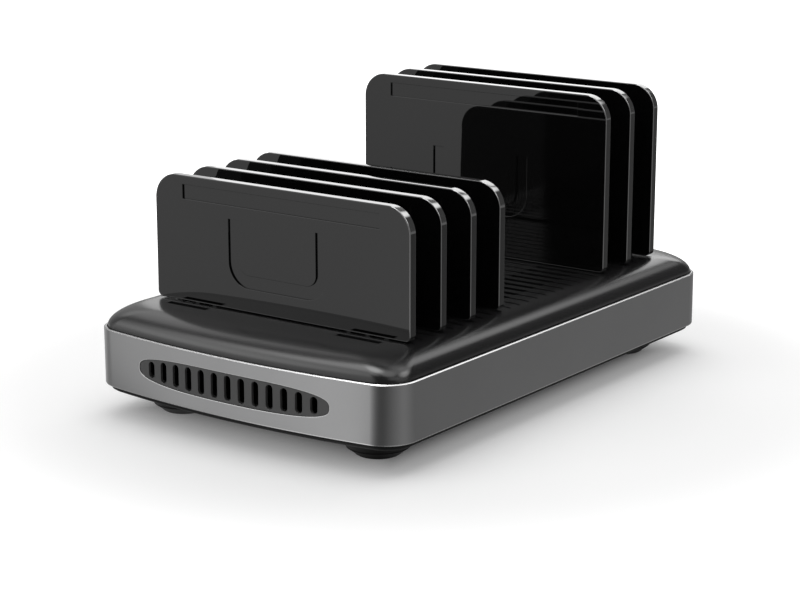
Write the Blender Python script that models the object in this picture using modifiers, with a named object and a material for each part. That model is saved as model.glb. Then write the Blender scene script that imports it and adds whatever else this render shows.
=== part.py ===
"""A desktop USB charging station with seven lift-out dividers.

The base stands on four rubber pads. A metal band runs round it, closed by a bottom cover and a domed
top cover. Two columns of sockets in the top cover hold the dividers, four short and three tall.
X runs across the base, Y along it and Z up. The origin is on the ground under the middle of the base.
The vent looks along -Y, the ports along -X, and the mains inlet and the switch along +Y.
"""

import math

import bmesh
import bpy
from mathutils import Matrix, Vector

MM = 0.001

# Fits
CLEARANCE = 0.3 * MM
OVERRUN = 1.0 * MM
FUSE = 0.5 * MM
WELD_DISTANCE = 0.001 * MM

# The base seen from above: straight sides, bowed ends and rounded corners
BODY_LENGTH = 220.0 * MM
BODY_WIDTH = 136.5 * MM
END_BOW = 6.0 * MM
CORNER_RADIUS = 12.2 * MM
CORNER_STEPS = 5
BOW_STEPS = 4

# Heights, from the ground up
PAD_HEIGHT = 3.2 * MM
FOOT_BOSS_HEIGHT = 4.1 * MM
BAND_LIFT = 3.9 * MM
BAND_HEIGHT = 21.2 * MM
DOME_RISE = 8.0 * MM
WINDOW_HEIGHT = 12.4 * MM
UNDERSIDE = PAD_HEIGHT + FOOT_BOSS_HEIGHT
BAND_BOTTOM = UNDERSIDE + BAND_LIFT
BAND_TOP = BAND_BOTTOM + BAND_HEIGHT
BAND_MIDDLE = BAND_BOTTOM + BAND_HEIGHT / 2
DECK_TOP = BAND_TOP + DOME_RISE
RIM_TOP = BAND_MIDDLE - WINDOW_HEIGHT / 2
SKIRT_BOTTOM = BAND_MIDDLE + WINDOW_HEIGHT / 2

# Walls of the casing
BAND_WALL = 1.0 * MM
BAND_TOP_CHAMFER = 0.6 * MM
BAND_BOTTOM_CHAMFER = 0.3 * MM
COVER_WALL = 2.2 * MM
DECK_WALL = 2.5 * MM
DOME_RUN = 13.0 * MM
DOME_STEPS = 6
HOLLOW_STEPS = 3
DECK_CORNER_RADIUS = 20.0 * MM
LIP_INSET = 2.5 * MM
LIP_CHAMFER = 1.5 * MM
BOTTOM_WALL = 2.0 * MM
FLOOR_WALL = 2.0 * MM
COVER_INSET = BAND_WALL + CLEARANCE
CAVITY_INSET = LIP_INSET + BOTTOM_WALL
FLOOR_TOP = UNDERSIDE + FLOOR_WALL

# Rows of sockets and shallow guide grooves in the deck
ROW_PITCH = 6.0 * MM
ROW_SHIFT = 1.3 * MM
DECK_END_MARGIN = 21.5 * MM
ROW_COUNT = int((BODY_LENGTH - 2 * DECK_END_MARGIN) / ROW_PITCH) + 1
BAY_ROWS = 3
SOCKET_START = 29.2 * MM
SOCKET_LENGTH = 18.6 * MM
SOCKET_WIDTH = 2.7 * MM
SOCKET_DEPTH = 5.3 * MM
SOCKET_FLOOR = 1.2 * MM
SOCKET_WALL = 2.0 * MM
GROOVE_WIDTH = 1.0 * MM
GROOVE_DEPTH = 0.5 * MM

# Dividers
SHORT_COUNT = 4
TALL_COUNT = 3
DIVIDER_WIDTH = 113.9 * MM
DIVIDER_WALL = 3.4 * MM
SHORT_HEIGHT = 45.5 * MM
TALL_HEIGHT = 67.4 * MM
DIVIDER_LIFT = 1.0 * MM
DIVIDER_TOP_RADIUS = 9.5 * MM
DIVIDER_FOOT_RADIUS = 2.0 * MM
LEG_WIDTH = 1.7 * MM
LEGS_PER_SOCKET = 3
RECESS_DEPTH = 0.7 * MM
BAR_END_INSET = 13.0 * MM
BAR_TOP_INSET = 3.3 * MM
BAR_HEIGHT = 5.2 * MM
LOOP_WIDTH = 43.0 * MM
LOOP_HEIGHT = 24.0 * MM
LOOP_BAND = 4.8 * MM
LOOP_RADIUS = 9.0 * MM
SHORT_LOOP_DROP = 13.3 * MM
TALL_LOOP_DROP = 26.8 * MM

# Vent in the near end
VENT_LENGTH = 85.4 * MM
VENT_HEIGHT = 10.7 * MM
VENT_SQUARENESS = 3.0
VENT_STEPS = 32
GRILLE_WALL = 1.5 * MM
GRILLE_MARGIN = 2.8 * MM
GRILLE_STEPS = 8
SLOT_STEPS = 3
SLOT_PAIRS = 6
SLOT_PITCH = 6.0 * MM
SLOT_WIDTH = 2.8 * MM
MIDDLE_SLOT_LENGTH = 8.4 * MM
END_SLOT_LENGTH = 5.9 * MM

# Feet and the screws that they cover
FOOT_SIDE_INSET = 24.0 * MM
FOOT_END_INSET = 27.5 * MM
FOOT_BOSS_RADIUS = 15.0 * MM
PAD_RADIUS = 11.2 * MM
PAD_FOOT_RADIUS = 7.4 * MM
PAD_EDGE = 0.8 * MM
PAD_STUD_HEIGHT = 2.0 * MM
SCREW_RADIUS = 1.4 * MM
SCREW_HEAD_RADIUS = 2.8 * MM
SCREW_HEAD_HEIGHT = 1.8 * MM
SCREW_LENGTH = 16.0 * MM
SCREW_TIP_SPACE = 1.0 * MM
SCREW_WELL_RADIUS = 3.8 * MM
INNER_BOSS_RADIUS = 4.4 * MM
INNER_BOSS_HEIGHT = 5.0 * MM
POST_RADIUS = 3.6 * MM
FOOT_X = BODY_WIDTH / 2 - FOOT_SIDE_INSET
FOOT_Y = BODY_LENGTH / 2 - FOOT_END_INSET
ROUND_STEPS = 12
PAD_STEPS = 20

# Ports on the far side
PORT_COUNT = 10
PORT_WINDOW_MARGIN = 3.6 * MM
PORT_WINDOW_HEIGHT = 10.4 * MM
WINDOW_RADIUS = 2.0 * MM
WINDOW_STEPS = 3
BEZEL_WALL = 2.0 * MM
BEZEL_FLANGE = 2.5 * MM
PORT_WIDTH = 13.2 * MM
PORT_HEIGHT = 5.8 * MM
PORT_DEPTH = 14.0 * MM
PORT_WALL = 0.4 * MM
PORT_BACK = 3.0 * MM
TONGUE_WIDTH = 11.0 * MM
TONGUE_HEIGHT = 1.8 * MM
TONGUE_SETBACK = 1.3 * MM
TONGUE_RAISE = 0.6 * MM

# Boards
BOARD_WALL = 1.6 * MM
BOARD_STAND = 3.0 * MM
BOARD_GAP = 10.0 * MM
BOARD_EDGE = 7.0 * MM
BOARD_CORNER = 5.0 * MM
STANDOFF_RADIUS = 3.2 * MM
BOARD_SCREW_RADIUS = 1.2 * MM
BOARD_SCREW_HEAD_RADIUS = 2.2 * MM
BOARD_SCREW_HEAD_HEIGHT = 1.4 * MM
BOARD_SCREW_LENGTH = 4.6 * MM
OUTPUT_BOARD_STRIP = 7.0 * MM
OUTPUT_SCREW_SHARE = 0.55

# Components on the mains board, in rows across it whose places along it are shares of its length
COMPONENT_GAP = 3.0 * MM
FRONT_ROW_SHARE = 0.16
MIDDLE_ROW_SHARE = 0.40
BACK_ROW_SHARE = 0.72
FUSE_ROW_SHARE = 0.87
LANDING_ROW_SHARE = 0.955
SWITCHED_LANDING_SHARE = 0.20
NEUTRAL_LANDING_SHARE = 0.58
COMPONENT_STEPS = 12
CORE_SIZE = (30.0 * MM, 10.0 * MM, 14.0 * MM)
CORE_LEG = 8.0 * MM
CORE_YOKE = 3.0 * MM
WINDING_OVERHANG = 5.5 * MM
BULK_RADIUS = 7.0 * MM
BULK_HEIGHT = 15.0 * MM
CHOKE_RADIUS = 7.0 * MM
CHOKE_WIRE = 3.0 * MM
CHOKE_WIRE_STEPS = 6
FILM_SIZE = (16.0 * MM, 7.0 * MM, 12.0 * MM)
FUSE_RADIUS = 2.6 * MM
FUSE_LENGTH = 16.0 * MM
HEATSINK_FINS = 5
HEATSINK_FIN = 1.2 * MM
HEATSINK_SIZE = (12.0 * MM, 34.0 * MM, 15.0 * MM)
HEATSINK_BASE = 2.0 * MM
OUTPUT_CAP_RADIUS = 5.0 * MM
OUTPUT_CAP_HEIGHT = 12.0 * MM

# Rear panel with the mains inlet and the switch
REAR_WINDOW_LENGTH = 60.0 * MM
REAR_WINDOW_HEIGHT = 10.4 * MM
PANEL_WALL = 2.0 * MM
PANEL_FLANGE = 3.0 * MM
FITTING_FLANGE_WALL = 0.8 * MM
FITTING_FLANGE_HEIGHT = 9.6 * MM
FITTING_FLANGE_EDGE = 1.0 * MM
FITTING_HEIGHT = 8.4 * MM
INLET_OFFSET = 16.0 * MM
INLET_WIDTH = 17.0 * MM
INLET_DEPTH = 15.0 * MM
INLET_MOUTH_WIDTH = 14.6 * MM
INLET_MOUTH_HEIGHT = 6.8 * MM
INLET_MOUTH_DEPTH = 10.0 * MM
PIN_SPACING = 8.6 * MM
PIN_RADIUS = 1.2 * MM
PIN_SETBACK = 1.5 * MM
PIN_TAIL = 4.0 * MM
SWITCH_OFFSET = 14.0 * MM
SWITCH_WIDTH = 14.4 * MM
SWITCH_DEPTH = 12.0 * MM
SWITCH_WELL_WIDTH = 12.4 * MM
SWITCH_WELL_HEIGHT = 6.4 * MM
SWITCH_WELL_DEPTH = 4.8 * MM
TERMINAL_SPACING = 7.0 * MM
TERMINAL_WALL = 0.8 * MM
TERMINAL_LENGTH = 4.0 * MM
ROCKER_HALF_LENGTH = 5.4 * MM
ROCKER_PIVOT_DEPTH = 2.0 * MM
ROCKER_CREST = 2.2 * MM
ROCKER_VALLEY = 1.4 * MM
ROCKER_SHOULDER = 0.4 * MM
ROCKER_HEEL = 2.2 * MM
ROCKER_HEEL_WIDTH = 3.2 * MM
ROCKER_TILT = math.radians(10)
TRUNNION_RADIUS = 0.8 * MM
TRUNNION_LENGTH = 0.7 * MM
TRUNNION_STEPS = 8

# Leads inside the base
LEAD_RADIUS = 0.9 * MM
LEAD_STEPS = 2
LEAD_BEND = 4.0 * MM
LEAD_RISE = 5.0 * MM
DC_LEAD_SPACING = 6.0 * MM


def clear_scene():
    """Removes whatever the scene holds."""
    for thing in list(bpy.data.objects):
        bpy.data.objects.remove(thing, do_unlink=True)


def make_collection(name):
    """A collection linked to the scene."""
    collection = bpy.data.collections.new(name)
    bpy.context.scene.collection.children.link(collection)
    return collection


clear_scene()
PARTS = make_collection("charging_station")
CUTTERS = make_collection("cutters")


def make_material(name, color, roughness, metallic=0.0):
    """A Principled material of one colour."""
    material = bpy.data.materials.new(name)
    material.use_nodes = True
    shader = material.node_tree.nodes["Principled BSDF"]
    shader.inputs["Base Color"].default_value = (*color, 1.0)
    shader.inputs["Roughness"].default_value = roughness
    shader.inputs["Metallic"].default_value = metallic
    return material


GLOSS_BLACK = make_material("gloss_black_plastic", (0.012, 0.012, 0.013), 0.08)
SATIN_BLACK = make_material("satin_black_plastic", (0.015, 0.015, 0.016), 0.28)
MATTE_BLACK = make_material("matte_black_plastic", (0.02, 0.02, 0.02), 0.5)
DARK_GREY = make_material("dark_grey_plastic", (0.05, 0.05, 0.05), 0.5)
SATIN_METAL = make_material("satin_aluminium", (0.45, 0.45, 0.45), 0.35, 1.0)
RUBBER = make_material("black_rubber", (0.015, 0.015, 0.015), 0.8)
STEEL = make_material("bright_steel", (0.6, 0.6, 0.6), 0.25, 1.0)
BRASS = make_material("brass", (0.7, 0.5, 0.2), 0.3, 1.0)
BOARD_GREEN = make_material("board_green", (0.02, 0.12, 0.05), 0.4)
FERRITE = make_material("ferrite", (0.04, 0.04, 0.045), 0.6)
TAPE_YELLOW = make_material("tape_yellow", (0.75, 0.6, 0.1), 0.45)
SLEEVE_BLACK = make_material("capacitor_sleeve", (0.02, 0.02, 0.03), 0.35)
COPPER = make_material("enamelled_copper", (0.6, 0.25, 0.12), 0.35, 1.0)
SINK_METAL = make_material("heatsink_aluminium", (0.5, 0.5, 0.52), 0.4, 1.0)
FUSE_WHITE = make_material("fuse_ceramic", (0.8, 0.8, 0.78), 0.4)
LEAD_BROWN = make_material("lead_brown", (0.2, 0.08, 0.03), 0.5)
LEAD_BLUE = make_material("lead_blue", (0.03, 0.1, 0.45), 0.5)
LEAD_RED = make_material("lead_red", (0.5, 0.03, 0.03), 0.5)
LEAD_BLACK = make_material("lead_black", (0.02, 0.02, 0.02), 0.5)


def add_part(name, mesh, material, location=(0, 0, 0)):
    """A named object of the model."""
    part = bpy.data.objects.new(name, mesh)
    part.location = location
    mesh.materials.clear()
    mesh.materials.append(material)
    PARTS.objects.link(part)
    return part


def add_guide(name, mesh):
    """A helper that a Boolean reads and that isn't part of the model."""
    guide = bpy.data.objects.new(name, mesh)
    guide.hide_render = True
    guide.display_type = "WIRE"
    CUTTERS.objects.link(guide)
    return guide


def combine(part, mesh, name, operation):
    """Joins a helper shape to a part, or cuts it away."""
    modifier = part.modifiers.new(name, "BOOLEAN")
    modifier.operation = operation
    modifier.solver = "EXACT"
    modifier.object = add_guide(f"{part.name}_{name}", mesh)


def cut(part, mesh, name):
    """Cuts a shape away from a part."""
    combine(part, mesh, name, "DIFFERENCE")


def join(part, mesh, name):
    """Joins a shape to a part."""
    combine(part, mesh, name, "UNION")


def bake(part):
    """Turns a part with modifiers into one plain mesh, which copies can share, and removes it."""
    bpy.context.view_layer.update()
    evaluated = part.evaluated_get(bpy.context.evaluated_depsgraph_get())
    mesh = bpy.data.meshes.new_from_object(evaluated)
    mesh.name = f"{part.name}_mesh"
    helpers = [modifier.object for modifier in part.modifiers if modifier.type == "BOOLEAN"]
    bpy.data.objects.remove(part, do_unlink=True)
    for helper in helpers:
        bpy.data.objects.remove(helper, do_unlink=True)
    return mesh


def to_mesh(shape, name):
    """Ends a bmesh as a mesh."""
    mesh = bpy.data.meshes.new(name)
    shape.to_mesh(mesh)
    shape.free()
    return mesh


def add_box(shape, low, high):
    """A box between two corners."""
    low, high = Vector(low), Vector(high)
    place = Matrix.Translation((low + high) / 2) @ Matrix.Diagonal((*(high - low), 1))
    bmesh.ops.create_cube(shape, size=1, matrix=place)


def add_cylinder(shape, start, end, radius, end_radius=None, steps=ROUND_STEPS):
    """A cylinder or cone from one point to another."""
    start, end = Vector(start), Vector(end)
    along = end - start
    place = Matrix.Translation((start + end) / 2) @ along.to_track_quat("Z", "Y").to_matrix().to_4x4()
    bmesh.ops.create_cone(
        shape,
        cap_ends=True,
        segments=steps,
        radius1=radius,
        radius2=radius if end_radius is None else end_radius,
        depth=along.length,
        matrix=place,
    )


def box_mesh(name, *boxes):
    """One mesh of boxes, each given by two corners."""
    shape = bmesh.new()
    for low, high in boxes:
        add_box(shape, low, high)
    return to_mesh(shape, name)


def cylinder_mesh(name, *cylinders, steps=ROUND_STEPS):
    """One mesh of cylinders or cones, each given by its ends and radii."""
    shape = bmesh.new()
    for cylinder in cylinders:
        add_cylinder(shape, *cylinder, steps=steps)
    return to_mesh(shape, name)


def loft_mesh(name, rings):
    """A closed skin over rings of equal point counts, from the lowest up."""
    shape = bmesh.new()
    rows = [[shape.verts.new(point) for point in ring] for ring in rings]
    for lower, upper in zip(rows, rows[1:]):
        for here, corner in enumerate(lower):
            after = (here + 1) % len(lower)
            shape.faces.new((corner, lower[after], upper[after], upper[here]))
    shape.faces.new(list(reversed(rows[0])))
    shape.faces.new(rows[-1])
    return to_mesh(shape, name)


def weld(mesh):
    """Closes the seams of a mesh made from a curve."""
    shape = bmesh.new()
    shape.from_mesh(mesh)
    bmesh.ops.remove_doubles(shape, verts=shape.verts, dist=WELD_DISTANCE)
    bmesh.ops.recalc_face_normals(shape, faces=shape.faces)
    shape.to_mesh(mesh)
    shape.free()


def plate_mesh(name, outlines, low, high, axis="Z"):
    """A flat plate from outlines, the later ones its holes, between two heights along an axis.

    Along Y an outline's points are X and Z, and along X they are Y and Z.
    """
    curve = bpy.data.curves.new(name, "CURVE")
    curve.dimensions = "2D"
    curve.fill_mode = "BOTH"
    curve.extrude = (high - low) / 2
    for outline in outlines:
        spline = curve.splines.new("POLY")
        spline.points.add(len(outline) - 1)
        spline.use_cyclic_u = True
        for point, (first, second) in zip(spline.points, outline):
            point.co = (first, second, 0, 1)
    guide = bpy.data.objects.new(name, curve)
    CUTTERS.objects.link(guide)
    bpy.context.view_layer.update()
    evaluated = guide.evaluated_get(bpy.context.evaluated_depsgraph_get())
    mesh = bpy.data.meshes.new_from_object(evaluated)
    bpy.data.objects.remove(guide, do_unlink=True)
    weld(mesh)
    middle = (low + high) / 2
    turns = {
        "Z": Matrix.Translation((0, 0, middle)),
        "Y": Matrix.Translation((0, middle, 0)) @ Matrix.Rotation(math.pi / 2, 4, "X"),
        "X": Matrix.Translation((middle, 0, 0))
        @ Matrix.Rotation(math.pi / 2, 4, "Z")
        @ Matrix.Rotation(math.pi / 2, 4, "X"),
    }
    mesh.transform(turns[axis])
    return mesh


def turned_mesh(name, profile, steps):
    """A turned solid from a profile of radii and heights, from the top down."""
    mesh = bpy.data.meshes.new(name)
    points = [(radius, 0, height) for radius, height in profile]
    mesh.from_pydata(points, [(k, k + 1) for k in range(len(points) - 1)], [])
    blank = bpy.data.objects.new(name, mesh)
    CUTTERS.objects.link(blank)
    screw = blank.modifiers.new("turn", "SCREW")
    screw.steps = steps
    screw.render_steps = steps
    screw.use_merge_vertices = True
    screw.merge_threshold = WELD_DISTANCE
    return bake(blank)


def arc(centre, radius, start, end, steps):
    """Points of an arc between two angles in degrees."""
    angles = [math.radians(start + (end - start) * k / steps) for k in range(steps + 1)]
    return [(centre[0] + radius * math.cos(a), centre[1] + radius * math.sin(a)) for a in angles]


def rounded_outline(low, high, low_radius, high_radius, steps):
    """A rectangle with one corner radius at its lower edge and one at its upper edge."""
    left, bottom = low
    right, top = high
    points = arc((right - low_radius, bottom + low_radius), low_radius, -90, 0, steps)
    points += arc((right - high_radius, top - high_radius), high_radius, 0, 90, steps)
    points += arc((left + high_radius, top - high_radius), high_radius, 90, 180, steps)
    points += arc((left + low_radius, bottom + low_radius), low_radius, 180, 270, steps)
    return points


def slot_outline(centre, width, length, steps):
    """An upright slot with round ends."""
    x, z = centre
    reach = (length - width) / 2
    return arc((x, z + reach), width / 2, 0, 180, steps) + arc((x, z - reach), width / 2, 180, 360, steps)


def bow_circle(inset):
    """Radius and centre of the circle that a bowed end follows at an inset from the base's outside."""
    radius = ((BODY_WIDTH / 2) ** 2 + END_BOW**2) / (2 * END_BOW) - inset
    return radius, BODY_LENGTH / 2 - inset - radius


def end_at(x, inset):
    """How far along Y the bowed end lies at a place across the base."""
    radius, centre = bow_circle(inset)
    return centre + math.sqrt(radius**2 - x**2)


def corner_centre(inset, corner):
    """Centre of a rounded corner, and the angle at which it meets the bowed end."""
    radius, centre = bow_circle(inset)
    x = BODY_WIDTH / 2 - inset - corner
    y = centre + math.sqrt((radius - corner) ** 2 - x**2)
    return x, y, math.atan2(y - centre, x)


def base_outline(inset, corner):
    """The base's outline at an inset from its outside."""
    radius, centre = bow_circle(inset)
    x, y, meet = corner_centre(inset, corner)
    quarter = arc((x, y), corner, 0, math.degrees(meet), CORNER_STEPS)
    quarter += arc((0, centre), radius, math.degrees(meet), 90, BOW_STEPS)[1:]
    points = list(quarter)
    points += [(-px, py) for px, py in reversed(quarter[:-1])]
    points += [(-px, -py) for px, py in quarter[:-1]]
    points += [(px, -py) for px, py in reversed(quarter)]
    return points


def base_ring(inset, corner, height):
    """The base's outline as a ring at a height."""
    return [(x, y, height) for x, y in base_outline(inset, corner)]


def row_place(row):
    """Where a row of sockets lies along the base, counted from 1 at the vent end."""
    return ROW_SHIFT + (row - (ROW_COUNT + 1) / 2) * ROW_PITCH


def foot_places():
    """Name and centre of each foot."""
    return {
        "front_left": (-FOOT_X, -FOOT_Y),
        "front_right": (FOOT_X, -FOOT_Y),
        "back_left": (-FOOT_X, FOOT_Y),
        "back_right": (FOOT_X, FOOT_Y),
    }


def port_window():
    """Half the length of the port window: the straight side less a margin."""
    return corner_centre(0, CORNER_RADIUS)[1] - PORT_WINDOW_MARGIN


def port_places():
    """Where each port lies along the base."""
    pitch = 2 * port_window() / PORT_COUNT
    return [(k - (PORT_COUNT - 1) / 2) * pitch for k in range(PORT_COUNT)]


BEZEL_FACE = -(BODY_WIDTH / 2 - COVER_INSET)
PORT_FACE = BEZEL_FACE + BEZEL_WALL + CLEARANCE
OUTPUT_BOARD_TOP = BAND_MIDDLE - PORT_HEIGHT / 2 - CLEARANCE
OUTPUT_BOARD_EDGE = PORT_FACE + PORT_DEPTH + OUTPUT_BOARD_STRIP
OUTPUT_SCREW_X = OUTPUT_BOARD_EDGE - OUTPUT_BOARD_STRIP / 2
OUTPUT_SCREW_Y = OUTPUT_SCREW_SHARE * port_window()
MAINS_BOARD_LOW = (OUTPUT_BOARD_EDGE + BOARD_GAP, INNER_BOSS_RADIUS + BOARD_GAP - FOOT_Y)
MAINS_BOARD_HIGH = (BODY_WIDTH / 2 - CAVITY_INSET - BOARD_EDGE, FOOT_Y - INNER_BOSS_RADIUS - BOARD_GAP)
MAINS_BOARD_BOTTOM = FLOOR_TOP + BOARD_STAND + CLEARANCE
MAINS_BOARD_TOP = MAINS_BOARD_BOTTOM + BOARD_WALL
COMPONENT_BASE = MAINS_BOARD_TOP + CLEARANCE
DC_LANDING = MAINS_BOARD_LOW[0] + BOARD_CORNER
COMPONENTS_LEFT = DC_LANDING + LEAD_RADIUS + COMPONENT_GAP
COMPONENTS_RIGHT = MAINS_BOARD_HIGH[0] - COMPONENT_GAP
REAR_FACE = end_at(REAR_WINDOW_LENGTH / 2 + PANEL_FLANGE, COVER_INSET)
FITTING_FACE = REAR_FACE + CLEARANCE + FITTING_FLANGE_WALL
SOCKET_BOTTOM = DECK_TOP - SOCKET_DEPTH
RAIL_BOTTOM = SOCKET_BOTTOM - SOCKET_FLOOR
INNER_BOSS_TOP = FLOOR_TOP + INNER_BOSS_HEIGHT
SCREW_WELL_TOP = PAD_HEIGHT + PAD_STUD_HEIGHT + SCREW_HEAD_HEIGHT


def across_board(share):
    """A place across the mains board from a share of its width."""
    return MAINS_BOARD_LOW[0] + (MAINS_BOARD_HIGH[0] - MAINS_BOARD_LOW[0]) * share


def along_board(share):
    """A place along the mains board from a share of its length."""
    return MAINS_BOARD_LOW[1] + (MAINS_BOARD_HIGH[1] - MAINS_BOARD_LOW[1]) * share



def mains_screw_places():
    """The mains board's four screws."""
    left, front = (edge + BOARD_CORNER for edge in MAINS_BOARD_LOW)
    right, back = (edge - BOARD_CORNER for edge in MAINS_BOARD_HIGH)
    return [(left, front), (right, front), (left, back), (right, back)]


def output_screw_places():
    """The output board's two screws, on the strip behind its ports."""
    return [(OUTPUT_SCREW_X, -OUTPUT_SCREW_Y), (OUTPUT_SCREW_X, OUTPUT_SCREW_Y)]


def make_band():
    """The metal band: a bent strip with its three windows, and a chamfer on its edges."""
    corner = CORNER_RADIUS
    rings = [
        base_ring(BAND_BOTTOM_CHAMFER, corner - BAND_BOTTOM_CHAMFER, BAND_BOTTOM),
        base_ring(0, corner, BAND_BOTTOM + BAND_BOTTOM_CHAMFER),
        base_ring(0, corner, BAND_TOP - BAND_TOP_CHAMFER),
        base_ring(BAND_TOP_CHAMFER, corner - BAND_TOP_CHAMFER, BAND_TOP),
    ]
    band = add_part("metal_band", loft_mesh("band", rings), SATIN_METAL)
    inside = base_outline(BAND_WALL, corner - BAND_WALL)
    cut(band, plate_mesh("inside", [inside], BAND_BOTTOM - OVERRUN, BAND_TOP + OVERRUN), "inside")
    front = -BODY_LENGTH / 2
    reach = end_at(VENT_LENGTH / 2, BAND_WALL)
    vent = plate_mesh("vent", [vent_outline()], front - OVERRUN, -reach + OVERRUN, "Y")
    cut(band, vent, "vent")
    half = port_window()
    ports = window_outline(half, PORT_WINDOW_HEIGHT)
    side = -BODY_WIDTH / 2
    cut(band, plate_mesh("ports", [ports], side - OVERRUN, side + BAND_WALL + OVERRUN, "X"), "ports")
    rear = window_outline(REAR_WINDOW_LENGTH / 2, REAR_WINDOW_HEIGHT)
    inner = end_at(REAR_WINDOW_LENGTH / 2, BAND_WALL)
    cut(band, plate_mesh("rear", [rear], inner - OVERRUN, BODY_LENGTH / 2 + OVERRUN, "Y"), "rear")


def vent_outline():
    """The vent's long oval, fuller than an ellipse."""
    points = []
    for k in range(VENT_STEPS):
        angle = 2 * math.pi * k / VENT_STEPS
        across = abs(math.cos(angle)) ** (2 / VENT_SQUARENESS)
        up = abs(math.sin(angle)) ** (2 / VENT_SQUARENESS)
        x = math.copysign(across, math.cos(angle)) * VENT_LENGTH / 2
        z = math.copysign(up, math.sin(angle)) * VENT_HEIGHT / 2
        points.append((x, BAND_MIDDLE + z))
    return points


def window_outline(half_length, height):
    """A long window with rounded corners at the middle of the band."""
    low = (-half_length, BAND_MIDDLE - height / 2)
    high = (half_length, BAND_MIDDLE + height / 2)
    return rounded_outline(low, high, WINDOW_RADIUS, WINDOW_RADIUS, WINDOW_STEPS)


def make_grille():
    """The vent's insert: a curved plate behind the band with round-ended slots."""
    half = VENT_LENGTH / 2 + GRILLE_MARGIN
    stations = [half * (2 * k / GRILLE_STEPS - 1) for k in range(GRILLE_STEPS + 1)]
    outline = [(x, -end_at(x, COVER_INSET)) for x in stations]
    outline += [(x, -end_at(x, COVER_INSET + GRILLE_WALL)) for x in reversed(stations)]
    plate = plate_mesh("grille", [outline], RIM_TOP + CLEARANCE, SKIRT_BOTTOM - CLEARANCE)
    grille = add_part("vent_grille", plate, DARK_GREY)
    front = -end_at(0, COVER_INSET) - OVERRUN
    back = -end_at(half, COVER_INSET + GRILLE_WALL) + OVERRUN
    for k in range(-SLOT_PAIRS, SLOT_PAIRS + 1):
        length = MIDDLE_SLOT_LENGTH - (MIDDLE_SLOT_LENGTH - END_SLOT_LENGTH) * abs(k) / SLOT_PAIRS
        slot = slot_outline((k * SLOT_PITCH, BAND_MIDDLE), SLOT_WIDTH, length, SLOT_STEPS)
        cut(grille, plate_mesh("slot", [slot], front, back, "Y"), f"slot_{k + SLOT_PAIRS + 1:02d}")


def dome_rings(base_inset, rise, steps):
    """Rings of a quarter-ellipse dome from the band's top edge up to its flat deck."""
    rings = []
    edge = CORNER_RADIUS - base_inset
    for k in range(steps + 1):
        angle = math.pi / 2 * k / steps
        inward = 1 - math.cos(angle)
        corner = edge + (DECK_CORNER_RADIUS - edge) * inward
        rings.append(base_ring(base_inset + DOME_RUN * inward, corner, BAND_TOP + rise * math.sin(angle)))
    return rings


def make_top_cover():
    """The domed top cover: a shell with two rails of blind sockets and four screw posts under it."""
    edge = CORNER_RADIUS - COVER_INSET
    rings = [base_ring(COVER_INSET, edge, SKIRT_BOTTOM)] + dome_rings(COVER_INSET, DOME_RISE, DOME_STEPS)
    cover = add_part("top_cover", loft_mesh("cover", rings), GLOSS_BLACK)
    inner = COVER_INSET + COVER_WALL
    hollow = [base_ring(inner, CORNER_RADIUS - inner, SKIRT_BOTTOM - OVERRUN)]
    hollow += dome_rings(inner, DOME_RISE - DECK_WALL, HOLLOW_STEPS)
    cut(cover, loft_mesh("hollow", hollow), "hollow")
    first, last = row_place(1), row_place(ROW_COUNT)
    reach = SOCKET_WIDTH / 2 + SOCKET_WALL
    under = DECK_TOP - DECK_WALL + FUSE
    near, far = SOCKET_START - SOCKET_WALL, SOCKET_START + SOCKET_LENGTH + SOCKET_WALL
    for name, left, right in (("left_rail", -far, -near), ("right_rail", near, far)):
        rail = box_mesh(name, ((left, first - reach, RAIL_BOTTOM), (right, last + reach, under)))
        join(cover, rail, name)
    bottom = INNER_BOSS_TOP + CLEARANCE
    posts = [((x, y, bottom), (x, y, under), POST_RADIUS) for x, y in foot_places().values()]
    join(cover, cylinder_mesh("posts", *posts), "posts")
    tip = SCREW_WELL_TOP + SCREW_LENGTH + SCREW_TIP_SPACE
    hole = SCREW_RADIUS + CLEARANCE
    holes = [((x, y, bottom - OVERRUN), (x, y, tip), hole) for x, y in foot_places().values()]
    cut(cover, cylinder_mesh("post_holes", *holes), "post_holes")
    cut(cover, box_mesh("sockets", *socket_boxes()), "sockets")
    cut(cover, box_mesh("grooves", *groove_boxes()), "grooves")


def socket_boxes():
    """The space of each socket."""
    boxes = []
    near, far = SOCKET_START, SOCKET_START + SOCKET_LENGTH
    for row in range(1, ROW_COUNT + 1):
        y = row_place(row)
        for left, right in ((-far, -near), (near, far)):
            low = (left, y - SOCKET_WIDTH / 2, SOCKET_BOTTOM)
            high = (right, y + SOCKET_WIDTH / 2, DECK_TOP + OVERRUN)
            boxes.append((low, high))
    return boxes


def groove_boxes():
    """The shallow groove that guides a divider's lower edge, in all rows but the first and the last."""
    boxes = []
    for row in range(2, ROW_COUNT):
        y = row_place(row)
        low = (-DIVIDER_WIDTH / 2, y - GROOVE_WIDTH / 2, DECK_TOP - GROOVE_DEPTH)
        high = (DIVIDER_WIDTH / 2, y + GROOVE_WIDTH / 2, DECK_TOP + OVERRUN)
        boxes.append((low, high))
    return boxes


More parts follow.
